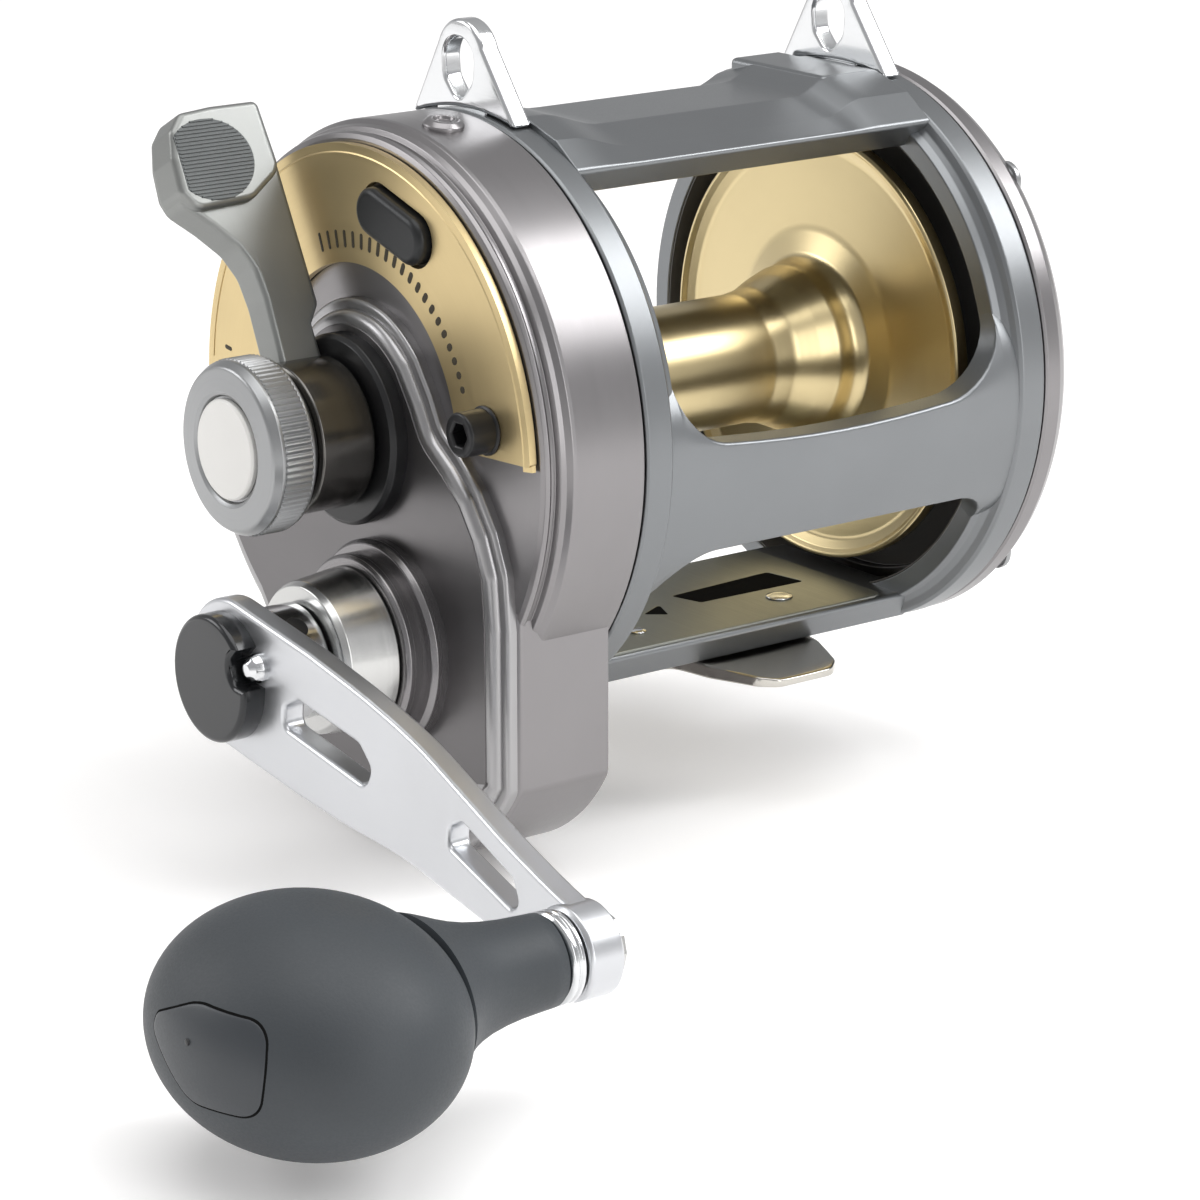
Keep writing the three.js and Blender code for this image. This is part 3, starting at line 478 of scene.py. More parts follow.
# ------------------------------------------------------------------ frame
def ring_profile():
    return soften([
        (BORE_R, SEAM_CLEARANCE, 0.3), (BODY_R - 0.3, SEAM_CLEARANCE, 0.3), (BODY_R, 0.6, 0.3),
        (BODY_R, 4.9, 0.5), (47.5, 5.4, 0.4), (46.4, 5.9, 1.0), (45.6, 6.7, 0.8), (LIP_R, RING_W, 0.35),
        (BORE_R, RING_W, 0.3),
    ])


def flare(distance, radius):
    """How far a window's corner fillet reaches in, at a distance from the ring."""
    if distance >= radius:
        return 0.0
    left = radius - max(distance, 0)
    return radius - math.sqrt(max(radius * radius - left * left, 0))


def bar_stations(near_radius, far_radius):
    """Places along Y for a bar's sections, close together in the corner fillets."""
    rises = [1 - math.cos(math.pi / 2 * k / 10) for k in range(11)]
    near = [RING_W + near_radius * rise for rise in rises]
    far = [FAR_LIP_Y - far_radius * rise for rise in reversed(rises)]
    between = [near[-1] + (far[0] - near[-1]) * k / 8 for k in range(1, 8)]
    return [RING_W - BAR_ROOT] + near + between + far + [FAR_LIP_Y + BAR_ROOT]


def cage_bar(low, top, near, far, inner=BORE_R + 0.3, outer=CAGE_R, edge=0.6, crown=0.0, sag=0.0):
    """A bar of the cage between two angles; near and far give (fillet below, fillet above) at each ring.

    The fillets sink to the height of the ring's lip where they spread along it, and the upper edge
    sags between the rings.
    """
    sink = outer - LIP_R - 0.05
    layers = []
    for y in bar_stations(max(near), max(far)):
        along = min(max((y - RING_W) / (FAR_LIP_Y - RING_W), 0), 1)
        high = top - math.degrees(sag * math.sin(math.pi * along) / outer)
        reaches = []
        drops = []
        for side in (0, 1):
            at_near = flare(y - RING_W, near[side])
            at_far = flare(FAR_LIP_Y - y, far[side])
            reaches.append(math.degrees((at_near + at_far) / outer))
            drops.append(sink * max(at_near / near[side], at_far / far[side]) ** 1.5)
        lower = low - reaches[0]
        upper = high + reaches[1]
        across = math.degrees(edge / outer)
        corner = [math.pi / 2 * k / 3 for k in range(4)]
        foot = outer - drops[0]
        section = [(foot - edge * (1 - math.sin(t)), lower + across * (1 - math.cos(t))) for t in corner]
        for share in [k / 6 for k in range(1, 7)]:
            section.append((outer - drops[0] * (1 - share) ** 2, lower + across + (low - lower) * share))
        for share in [k / 8 for k in range(1, 8)]:
            height = outer + crown * math.sin(math.pi * share)
            section.append((height, low + across + (high - low - 2 * across) * share))
        for share in [k / 6 for k in range(7)]:
            section.append((outer - drops[1] * share ** 2, high - across + (upper - high) * share))
        crest = outer - drops[1]
        section += [(crest - edge * (1 - math.cos(t)),
            upper - across * (1 - math.sin(t))) for t in corner[1:]]
        section += [(inner, upper + (lower - upper) * k / 9) for k in range(10)]
        layers.append([(polar(r, a)[0], y, polar(r, a)[1]) for r, a in section])
    return stack(layers)


def ease(value, start, end):
    """Rises smoothly from 0 at start to 1 at end."""
    share = min(max((value - start) / (end - start), 0), 1)
    return share * share * (3 - 2 * share)


TOP_SCOOP = 2.7  # how far the top bar dips between the rings


def top_bar():
    loop = soften([
        (24.2, 41.4, 0.8), (18.2, 45.5, 0.7), (10, BODY_R, 3), (-8, BODY_R, 3), (-17, 45.4, 0.8),
        (-19, 37.6, 0.8), (-10, 41.2, 2), (0, 42.3, 2), (10, 41.2, 2), (20.5, 37.0, 0.8),
    ])
    bar = slab(loop, RING_W - BAR_ROOT, FAR_LIP_Y + BAR_ROOT, 0.2, 0.2)
    sliced(bar, Y, range(7, 78, 2))
    for vertex in bar.verts:
        scooped = ease(vertex.co.y, RING_W, 20) * (1 - ease(vertex.co.y, 60, 67))
        vertex.co.z -= TOP_SCOOP * scooped * ease(vertex.co.z, 41.0, 46.5)
    return bar


def base_plate():
    edge = [
        (22.5, BASE_TOP_Z, 0.7), (18.5, BASE_BOTTOM_Z, 0.8), (-13, BASE_BOTTOM_Z, 0.8),
        (-15, BASE_TOP_Z, 0.7),
    ]
    return slab(soften(edge), 4, FRAME_WIDTH - 4, 0.2, 0.2)


def turn_flat(bm):
    """Lays a slab drawn in (x, z) down into the (x, y) plane, its outer face upwards."""
    return moved(bm, Matrix(((1, 0, 0, 0), (0, 0, 1, 0), (0, -1, 0, 0), (0, 0, 0, 1))))


def pill(length, width, centre=(0, 0), tilt=0.0, steps=10):
    """A slot's outline, length over all."""
    reach = (length - width) / 2
    lean = math.degrees(tilt)
    loop = []
    for sign, start in [(1, lean - 90), (-1, lean + 90)]:
        middle = (centre[0] + sign * reach * math.cos(tilt), centre[1] + sign * reach * math.sin(tilt))
        loop += arc(width / 2, start, start + 180, steps, middle)
    return loop


def build_frame():
    near_ring = lathe(ring_profile())
    far_ring = lathe([(r, FRAME_WIDTH - y) for r, y in ring_profile()])
    front = cage_bar(-21, 2.5, (9, 9), (7, 12), crown=0.15, sag=2.2)
    rear = cage_bar(206, 222, (7, 7), (7, 7))
    pad = block(-14, 10.5, 65.5, FRAME_WIDTH - 6, 43.2, 48.1, 1.0)
    webs = [block(-14, 21, 7, 11, BASE_TOP_Z - 4.5, BASE_TOP_Z + 1.4, 0.5)]
    body = joined(near_ring, far_ring, front, rear, top_bar(), pad, base_plate(), *webs)
    piece("cage_frame", body, "frame", "housing", ["frame"])


def build_base_details():
    """What lies on top of the base plate: a slotted plate and screw heads."""
    top = BASE_TOP_Z + 0.35
    loop = soften([(21.2, 71.5, 2), (21.2, 11, 2), (-13.5, 11, 2), (-13.5, 71.5, 2)])
    slot = soften([(7.3, 65.4, 0.6), (-0.7, 64, 0.6), (0.8, 42, 0.6), (6.7, 43.7, 0.6)])
    vent = soften([(8.9, 34.9, 0.3), (3.8, 37, 0.3), (6.5, 31.8, 0.3)])
    plate = slab(loop, 0, 0.9, 0.25, 0.1, [slot, vent])
    plate = moved(turn_flat(plate), Matrix.Translation((0, 0, top)))
    piece("base_cover", plate, "base", "housing")
    # Black sheets under the cover's slot and vent: painted shade in the openings.
    slot_shades = [slab([(8, 66), (-1.5, 66), (-1.5, 41), (8, 41)], 0, 0.25, 0.05, 0.05)]
    slot_shades.append(slab([(10, 31), (3, 31), (3, 38), (10, 38)], 0, 0.25, 0.05, 0.05))
    floor = moved(turn_flat(joined(*slot_shades)), Matrix.Translation((0, 0, BASE_TOP_Z + 0.27)))
    piece("base_slot_shade", floor, "pit", "housing")
    heads = []
    for x, y, radius in [(14, 24.7, 1.4), (12.3, 56, 2.3), (-8, 33, 2.1)]:
        dome = [(0, 0), (radius, 0, 0.2), (radius, 0.3, 0.2), (radius * 0.6, 0.5, 0.5), (0, 0.55)]
        head = turned(dome, 32)
        heads.append(moved(head, Matrix.Translation((x, y, top)) @ Matrix.Rotation(math.pi / 2, 4, "X")))
    piece("base_rivets", joined(*heads), "bright_steel", "housing")


# ------------------------------------------------------------------ gear side plate
def shell_profile():
    return soften([
        (0, FACE_Y), (45.3, FACE_Y, 0.15), (46.1, -17.9, 0.3), (46.4, -17.2, 0.2), (46.0, -16.7, 0.15),
        (46.0, -15.9, 0.15), (46.9, -15.6, 0.3), (47.2, -14.7, 0.3), (47.9, -13.9, 0.5),
        (BODY_R, -13.2, 0.4), (BODY_R, -0.5, 0.3), (47.6, -0.25, 0.2), (0, -0.25),
    ])


def lobe_arc(radius, front_x, end, steps):
    """The arc under the crank, from the vertical face at front_x round to an angle."""
    front = math.degrees(math.acos((front_x - CRANK[0]) / radius))
    return arc(radius, -front, end, steps, CRANK)


def lobe_loop():
    """The part of the plate that hangs below the ring, round the crank axis."""
    lower = lobe_arc(LOBE_R - FACET_SAG, LOBE_FRONT_X, -168, 56)
    top = [(-26, -20), (-10, 0), (20, 0)]
    return soften([(LOBE_FRONT_X, -22, 0.8), (*lower[0], 3.0)] + lower[1:] + top)


HOUSING_STEP = 0.5  # the raised housing stands this far inside the lobe
HOUSING_EDGE = [(18.9, 8.4), (21.6, 3.6), (26.6, 0.2), (31.6, -4.0), (35.6, -9.6), (38.3, -16.0)]


def housing_loop(shrink=0.0):
    """The raised housing: round the lever boss, down a diagonal to the lobe and round it."""
    front_x = LOBE_FRONT_X - HOUSING_STEP
    lower = lobe_arc(LOBE_R - HOUSING_STEP, front_x, -122, 40)
    rear = arc(46.4, -131, -172, 16)
    boss = arc(20.4, 190, 42, 36)
    ridge = [(x, z, 6) for x, z in HOUSING_EDGE]
    loop = [(front_x, -25, 6), (*lower[0], 3.0)] + lower[1:] + rear + [(-27, -4, 5)] + boss + ridge
    loop = counterclockwise(soften(loop, steps=6))
    return inset(loop, shrink) if shrink else loop


def build_gear_side_plate():
    shell = lathe(shell_profile())
    lobe = slab(lobe_loop(), FACE_Y - 0.2, -0.8, 1.0, 0.4)
    piece("side_plate_shell", joined(shell, lobe), "side_plates", "housing",
          ["gear_side_plate"])
    # The rim is drawn in the lighter ridge grey: a painted highlight along its rounded edge.
    lower_step = slab(housing_loop(), HOUSING_Y + 1.5, FACE_Y + 1, 0.7, 0.1)
    bevel = slab(housing_loop(1.7), HOUSING_Y + 0.05, HOUSING_Y + 2, 1.5, 0.1, steps=6)
    ridge = joined(lower_step, bevel)
    piece("housing_ridge", ridge, "ridge", "housing")
    # The raised face takes the darkened housing grey: painted shade round the crank boss.
    face = slab(housing_loop(3.9), HOUSING_Y - 0.1, HOUSING_Y + 1, 0.15, 0.1)
    piece("housing_face_painted_shade", face, "housing", "housing")
    boss = turned([
        (0, -24.4), (16.1, -24.4, 0.4), (16.7, -23.6, 0.4), (16.7, -21, 0.3), (17.6, -20.6, 0.6),
        (17.6, -19, 0), (0, -19),
    ], MEDIUM, CRANK)
    boss_top = [(0, -28), (14.4, -28, 0.4), (14.9, -27.4, 0.4), (14.9, -24, 0), (0, -24)]
    boss = joined(boss, turned(boss_top, MEDIUM, CRANK))
    piece("crank_boss", boss, "crank_grey", "housing")
    # A black ring round the lever hub: its own black finish, and painted shade between the hub and the
    # housing.
    well = turned([(0, -24.5), (14.6, -24.5, 0.4), (15.3, -23.8, 0.5), (15.3, -20, 0), (0, -20)], MEDIUM)
    piece("lever_boss", well, "black", "housing")


# ------------------------------------------------------------------ quadrant, strike button, full stop
STRIKE_AT = (10.4, 33.9)
STRIKE_TILT = math.radians(-16.5)
STOP_AT = (33.6, 6.0)
SCALE_MARKS = 21


def quadrant_loop():
    outer = arc(QUADRANT_R, 3, 181, 110)
    inner = arc(QUADRANT_BORE_R, 181, 3, 90)
    for side, rounding in ((outer, 0.8), (inner, 0.5)):
        side[0] += (rounding,)
        side[-1] += (rounding,)
    return soften(outer + inner)


def quadrant_mark(radius, degrees, length, width):
    """A filled groove that points at the spool axis."""
    loop = pill(length, width, polar(radius, degrees), math.radians(degrees), 6)
    return slab(loop, -19.84, -19.7, 0.01, 0.01)


def build_quadrant():
    opening = pill(19.4, 9.0, STRIKE_AT, STRIKE_TILT, 14)
    plate = slab(quadrant_loop(), -19.8, FACE_Y - 0.25, 0.0001, 0.1, [opening, circle(2.1, STOP_AT, 32)])
    crown = turned([
        (43.2, -19.95, 0.05), (QUADRANT_R - 0.15, -19.2, 0.15), (QUADRANT_R - 0.1, -18.6, 0),
        (43.2, -18.6, 0),
    ])
    parts = crown.verts[:] + crown.edges[:] + crown.faces[:]
    bmesh.ops.bisect_plane(crown, geom=parts, plane_co=(0, 0, 2.4), plane_no=(0.02, 0, 1), clear_inner=True)
    bmesh.ops.holes_fill(crown, edges=crown.edges[:])
    piece("quadrant", joined(plate, crown), "quadrant", "housing", ["quadrant_plate"])
    # A dark sheet behind the strike opening: painted shade in the gap round the button.
    well = slab(pill(19.6, 9.2, STRIKE_AT, STRIKE_TILT, 14), -18.6, -18.3, 0.05, 0.05)
    marks = []
    last = SCALE_MARKS - 1
    for i in range(SCALE_MARKS):
        angle = 111 - (111 - 22) * i / last
        length = 3.1 - 1.9 * i / last
        width = 0.62 + 0.68 * i / last
        marks.append(quadrant_mark(29.7, angle, length, min(width, length)))
    marks.append(quadrant_mark(39, 172, 2.0, 0.7))
    piece("quadrant_marks_and_gap_shade", joined(well, *marks), "ink", "housing")


def build_strike_button():
    outline = pill(18.0, 7.8, STRIKE_AT, STRIKE_TILT, 14)
    button = slab(outline, -21.9, -16.2, 1.3, 0.2, steps=5)
    piece("strike_pad", button, "gunmetal", "strike", ["strike_button"])


def hex_loop(across, centre=(0, 0)):
    return soften([(*polar(across / math.sqrt(3), 60 * i, centre), 0.12) for i in range(6)], steps=2)


def build_full_stop():
    head = slab(circle(3.5, STOP_AT, 48), -25.0, -20.0, 0.45, 0.25, [hex_loop(3.4, STOP_AT)])
    floor = lathe([(0, -22.2), (2.6, -22.2), (2.6, -20.4), (0, -20.4)], 32, STOP_AT)
    rim = [(0, -20.6), (2.9, -20.6, 0.1), (3.9, -20.2, 0.2), (3.9, -19.9, 0), (0, -19.9)]
    rim = turned(rim, SMALL, STOP_AT)
    piece("stop_screw", joined(head, floor, rim), "black", "housing", ["full_stop"])


# ------------------------------------------------------------------ lever, hub and preset knob
def lever_matrix():
    """The lever is drawn along X: this turns it about the spool axis to its rest angle."""
    return Matrix.Rotation(-math.radians(LEVER_ANGLE), 4, "Y")


def radial_slab(loop, rearward, forward, edge):
    """A slab drawn as (distance from the axis, y), with its thickness across the lever."""
    return turn_flat(slab(loop, -rearward, forward, edge, edge, steps=4))


def build_lever():
    arm_loop = soften([
        (9, -32.8), (22, -32.3, 8), (27, -32.7, 6), (31, -34.4, 6), (35, -38.0, 6), (38.6, -41.9, 3),
        (41, -42.7, 2), (46, -42.3, 3), (50, -41.2, 2), (52.9, -38.8, 2), (53.4, -33, 3),
        (53.4, -23.6, 1.2), (46, -22.9, 1), (20, -22.9, 2), (17, -25.1, 1), (9, -25.1),
    ])
    arm = radial_slab(arm_loop, 3.5, 3.0, 0.9)
    tab_loop = soften([
        (37.2, -40.6, 3), (40.4, -42.8, 2), (46, -42.5, 3), (50.4, -41.4, 2), (53.2, -38.9, 2),
        (53.7, -33, 3),
        (53.7, -24.2, 1.2), (42, -23.6, 3), (37.8, -30, 4),
    ])
    tab = radial_slab(tab_loop, 3.0, 4.5, 1.0)
    blade = moved(joined(arm, tab), lever_matrix())
    piece("lever_blade", blade, "lever", "lever", ["drag_lever"])
    hub = turned([
        (7.7, -35.5, 0.2), (11.2, -35.5, 0.5), (12, -34.9, 0.5), (12, -25.6, 0.4), (11.6, -25.1, 0.3),
        (7.7, -25.1, 0.2),
    ], MEDIUM)
    piece("lever_hub", hub, "hub", "lever")
    build_thumb_pad()


def build_thumb_pad():
    """The ribbed oval on the tab's forward face, with a straight cut along its outer side."""
    centre = (45.0, -35.6)
    loop = []
    for x, z in circle(1, (0, 0), 72):
        s = centre[0] + 6.7 * x
        y = centre[1] + 7.6 * z
        loop.append((s, max(y, -41.3)))
    clean = [p for i, p in enumerate(loop) if (Vector(p) - Vector(loop[i - 1])).length > 0.2]
    pad = radial_slab(clean, 0, 4.56, 0.05)
    ribs = []
    for i in range(22):
        s = centre[0] - 6.4 + 12.8 * i / 21
        reach = math.sqrt(max(1 - ((s - centre[0]) / 6.7) ** 2, 0)) * 7.4
        low = max(centre[1] - reach, -41.1)
        high = centre[1] + reach
        if high - low < 1:
            continue
        rib = block(s - 0.16, s + 0.16, low, high, -4.72, -4.4, 0.08, 2)
        ribs.append(rib)
    pad = moved(joined(pad, *ribs), lever_matrix())
    piece("thumb_pad", pad, "thumb", "lever")


def knurled_ring(radius, depth, count, y0, y1, edge):
    """A short cylinder whose rim carries rounded ridges."""
    samples = 8
    layers = []
    for y, shrink in [(y0, edge), (y0 + edge, 0), (y1 - edge, 0), (y1, edge)]:
        loop = []
        for k in range(count * samples):
            wave = 0.5 - 0.5 * math.cos(2 * math.pi * k / samples)
            x, z = polar(radius - shrink - depth * wave, 360 * k / (count * samples))
            loop.append((x, y, z))
        layers.append(loop)
    return stack(layers)


def build_preset_knob():
    grip_band = knurled_ring(14.0, 0.42, 84, -43.1, -38.0, 0.25)
    front = turned([
        (0, -43.0), (13.75, -43.0, 0.1), (13.75, -43.6, 0.3), (12.9, -45.0, 0.8), (9.2, -45.3, 0.2),
        (8.6, -45.0, 0.2), (8.3, -44.5, 0), (0, -44.5),
    ])
    back = turned([(0, -38.2), (13.7, -38.2, 0.1), (13.7, -37.6, 0.3), (13.0, -37.1, 0.3), (0, -37.1)])
    piece("preset_cap", joined(grip_band, front, back), "knob", "preset", ["preset_knob"])
    gasket = turned([(0, -37.2), (11.6, -37.2, 0.2), (11.6, -35.8, 0.2), (0, -35.8)], MEDIUM)
    piece("knob_gasket", gasket, "black", "preset")
    disc = turned([(0, -45.65), (7.6, -45.6, 0.3), (8.0, -45.2, 0.2), (8.0, -44.6, 0), (0, -44.6)], MEDIUM)
    piece("knob_disc", disc, "disc", "preset", ["knob_cap"])


# ------------------------------------------------------------------ crank
def arm_matrix():
    """From the arm's own frame (s out from the crank axis, t across) to the reel's."""
    place = Matrix.Translation((CRANK[0], 0, CRANK[1]))
    return place @ Matrix.Rotation(-ARM_ANGLE, 4, "Y")


def build_crank_hub():
    sleeve = turned([
        (6.3, -28.2, 0.1), (13.2, -28.2, 0.3), (13.0, -30.0, 1.0), (12.2, -36.6, 0.6), (11.6, -37.7, 0.4),
        (6.3, -37.7, 0.3),
    ], MEDIUM, CRANK)
    piece("crank_sleeve", sleeve, "turned_steel", "housing", ["shaft_sleeve"])
    collar = turned([
        (5.3, -38.1, 0.1), (8.7, -38.1, 0.3), (9.2, -38.7, 0.3), (9.2, -46.3, 0.3), (8.7, -46.9, 0.3),
        (5.3, -46.9, 0.1),
    ], MEDIUM, CRANK)
    piece("crank_collar", collar, "bright_steel", "crank", ["hub_collar"])
    # Black discs flush on the collar: painted shade standing for its two holes.
    holes = []
    for turn in (52, 232):
        disc = turned([(0, -0.3), (1.9, -0.3, 0.1), (1.9, 0.12, 0.05), (0, 0.12)], 32)
        lay = Matrix.Rotation(math.radians(90), 4, "Z")
        out = Matrix.Rotation(-math.radians(turn), 4, "Y") @ Matrix.Translation((9.12, 0, 0)) @ lay
        holes.append(moved(disc, Matrix.Translation((CRANK[0], -42.5, CRANK[1])) @ out))
    piece("collar_hole_shades", joined(*holes), "black", "crank")


def half_width(s):
    """Half the arm's width at a distance s from the crank axis."""
    stations = [(0, 12.0), (20, 11.9), (34, 11.2), (48, 9.8), (62, 8.6), (78, 7.2), (90, 6.7), (120, 6.7)]
    for (s0, w0), (s1, w1) in zip(stations, stations[1:]):
        if s <= s1:
            return w0 + (w1 - w0) * (s - s0) / (s1 - s0)
    return stations[-1][1]


def bend_offset(s):
    """How far outwards the arm runs at s: straight, then sloping after a soft bend."""
    soft = 7.0
    if s <= ARM_BEND - soft:
        return 0.0
    if s >= ARM_BEND + soft:
        return ARM_FLARE * (s - ARM_BEND)
    return ARM_FLARE * (s - ARM_BEND + soft) ** 2 / (4 * soft)


def build_arm():
    stations = [4 * i for i in range(24)]
    loop = [(s, -half_width(s)) for s in stations]
    loop += arc(6.9, -78, 78, 20, (ARM_LENGTH, 0))
    loop += [(s, half_width(s)) for s in reversed(stations)]
    loop += arc(12.0, 94, 266, 40)
    slot_near = soften([
        (15.4, -2.4, 1.5), (37.6, -2.8, 2.0), (38.6, 0.6, 1.5), (35, 3.2, 2), (18.6, 3.3, 2),
        (15.2, 0.9, 1.2),
    ])
    slot_far = soften([
        (61.8, -1.2, 1.2), (81.4, -1.6, 1.6), (83.4, 0.2, 1.2), (81, 3.0, 1.6), (65, 4.2, 2),
        (61.6, 1.8, 1.5),
    ])
    bar = slab(loop, ARM_FACE_Y, ARM_FACE_Y + ARM_THICK, 0.8, 0.6, [slot_near, slot_far], 4)
    sliced(bar, X, range(36, 104, 3))
    for vertex in bar.verts:
        vertex.co.y -= bend_offset(vertex.co.x)
    boss = turned([
        (3.2, POST_Y - 0.9, 0.2), (6.3, POST_Y - 0.9, 0.4), (6.9, POST_Y - 0.3, 0.4),
        (6.9, POST_Y + 4.6, 0.4),
        (6.4, POST_Y + 5.1, 0.4), (3.2, POST_Y + 5.1, 0.2),
    ], MEDIUM, (ARM_LENGTH, 0))
    arm = moved(joined(bar, boss), arm_matrix())
    piece("crank_arm", arm, "arm", "crank", ["handle_arm"])
    pin = turned([(0, POST_Y + 4.9), (3.0, POST_Y + 4.9, 0), (3.0, POST_Y + 5.6, 0.4),
        (0, POST_Y + 6.1)], SMALL)
    pin = moved(pin, arm_matrix() @ Matrix.Translation((ARM_LENGTH, 0, 0)))
    piece("post_head", pin, "bright_steel", "crank")


LOCK_AT = (8.2, 4.6)  # the locking screw, in the arm's frame
LOCK_BITE = 3.0


def cap_loop(radius):
    """The cap's outline, with a round bite where the locking screw stands."""
    distance = math.hypot(*LOCK_AT)
    toward = math.degrees(math.atan2(LOCK_AT[1], LOCK_AT[0]))
    widest = math.degrees(math.asin(LOCK_BITE / distance))
    loop = arc(radius, toward + widest, toward + 360 - widest, 90)
    for k in range(1, 20):
        turn = -widest + 2 * widest * k / 20
        offset = distance * math.sin(math.radians(turn))
        near = distance * math.cos(math.radians(turn)) - math.sqrt(max(LOCK_BITE ** 2 - offset ** 2, 0))
        loop.append(polar(min(near, radius), toward + turn))
    return loop


def build_end_cap():
    cap = slab(cap_loop(10.1), -55.3, ARM_FACE_Y + 0.9, 0.9, 0.2, steps=5)
    piece("arm_nut", moved(cap, arm_matrix()), "cap", "crank", ["handle_end_cap"])
    head = turned([
        (0, -54.0), (1.0, -53.9, 0.4), (1.9, -53.1, 0.8), (2.3, -51.9, 0.4), (2.3, -50.4, 0), (0, -50.4),
    ], SMALL, LOCK_AT)
    piece("locking_screw", moved(head, arm_matrix()), "bright_steel", "crank",
          ["lock_screw"])


# ------------------------------------------------------------------ grip
def build_knob_collar():
    far = POST_Y - 1.2
    rings = turned([
        (3.3, far, 0.1), (6.2, far, 0.3), (6.7, far - 0.5, 0.3), (6.7, far - 1.0, 0.2),
        (6.35, far - 1.3, 0.15),
        (6.7, far - 1.6, 0.2), (6.7, far - 2.2, 0.3), (6.2, far - 2.6, 0.3), (3.3, far - 2.6, 0.1),
    ], MEDIUM, KNOB)
    piece("grip_collar", rings, "bright_steel", "crank", ["knob_collar"])


# The neck's sections: (distance from its start, half width, half height)
NECK = [
    (0.0, 6.2, 6.2), (0.3, 6.7, 6.7), (2.5, 6.8, 6.8), (6, 7.0, 7.0), (9, 7.4, 7.35), (12, 8.1, 7.9),
    (14.5, 9.0, 8.6),
    (16.7, 10.2, 9.4), (18.6, 11.6, 10.2), (20.2, 13.1, 10.8), (21.3, 14.2, 11.1),
]
GRIP_HALF = (24.3, 20.4, 17.2)
GRIP_FULLNESS = 0.94  # below one, the ball's sides are fuller than an ellipsoid's
CREASE_Y = -84.75


def skin_section(y, rx, rz, segments=120):
    turns = [2 * math.pi * k / segments for k in range(segments)]
    return [(KNOB[0] + rx * math.cos(a), y, KNOB[1] + rz * math.sin(a)) for a in turns]


def build_grip():
    """An oval ball with a flared neck; a fine crease runs round where they meet."""
    start = POST_Y - 4.1
    layers = [skin_section(start - along, rx, rz) for along, rx, rz in NECK]
    first = math.asin((CREASE_Y - GRIP_Y) / GRIP_HALF[1])
    wide = math.cos(first) ** GRIP_FULLNESS
    layers.append(skin_section(CREASE_Y + 0.25, GRIP_HALF[0] * wide - 0.35, GRIP_HALF[2] * wide - 0.35))
    count = 48
    for k in range(count + 1):
        angle = first - (math.pi / 2 + first) * k / count
        wide = max(math.cos(angle), 0.004) ** GRIP_FULLNESS
        y = GRIP_Y + GRIP_HALF[1] * math.sin(angle)
        layers.append(skin_section(y, GRIP_HALF[0] * wide, GRIP_HALF[2] * wide))
    body = stack(layers)
    piece("power_grip", body, "rubber", "grip", ["grip"], sharp=60, weighted=False)
    build_badge()


def skin_y(x, z, rise=0.0):
    """The outer end of the grip's skin over a point (x, z) from its axis."""
    share = math.hypot(x / GRIP_HALF[0], z / GRIP_HALF[2])
    cosine = min(share, 0.999) ** (1 / GRIP_FULLNESS)
    return GRIP_Y - GRIP_HALF[1] * math.sqrt(1 - cosine * cosine) - rise


def resampled(loop, spacing):
    """The same outline with points close together along its straight sides."""
    dense = []
    for a, b in zip(loop, loop[1:] + loop[:1]):
        count = max(1, round(math.dist(a, b) / spacing))
        dense += [(a[0] + (b[0] - a[0]) * k / count, a[1] + (b[1] - a[1]) * k / count) for k in range(count)]
    return dense


BADGE_AT = (3.0, 1.0)  # the panel's centre, from the knob's axis
BADGE_LOOP = [
    (-12.2, 2.4, 2.5), (-1.0, 7.5, 9), (10.7, 7.2, 6), (12.4, 0.8, 20), (10.8, -6.3, 5), (-1.5, -6.9, 5),
    (-6.5, -2.2, 8),
]


def build_badge():
    """A panel let into the grip's end: a shallow groove painted near-black as its shade, and a pad that
    follows the skin.
    """
    groove = counterclockwise(resampled(soften(BADGE_LOOP, steps=12), 0.6))
    pad = inset(groove, 0.34)
    # The groove takes the pit black: painted shade round the pad.
    parts = [("badge_groove_shade", groove, 0.04, "pit", ()), ("badge_pad", pad, 0.12, "badge", ["grip_badge"])]
    for name, loop, rise, finish_name, nodes in parts:
        layers = []
        rises = [(1.0, -1.2), (1.0, rise - 0.12), (0.985, rise - 0.02)]
        rises += [(scale / 24, rise) for scale in range(23, 0, -1)]
        for scale, lift in rises:
            layer = []
            for x, z in loop:
                px = BADGE_AT[0] + x * scale
                pz = BADGE_AT[1] + z * scale
                layer.append((KNOB[0] + px, skin_y(px, pz, lift), KNOB[1] + pz))
            layers.append(layer)
        piece(name, stack(layers), finish_name, "grip", nodes, sharp=50, weighted=False)
    dot = turned([(0, -0.25), (0.45, -0.2, 0.1), (0.5, 0.2, 0), (0, 0.2)], 24)
    place = Matrix.Translation((KNOB[0] + 2.3, skin_y(2.3, 3.1, 0.1), KNOB[1] + 3.1))
    piece("badge_dot", moved(dot, place), "black", "grip")


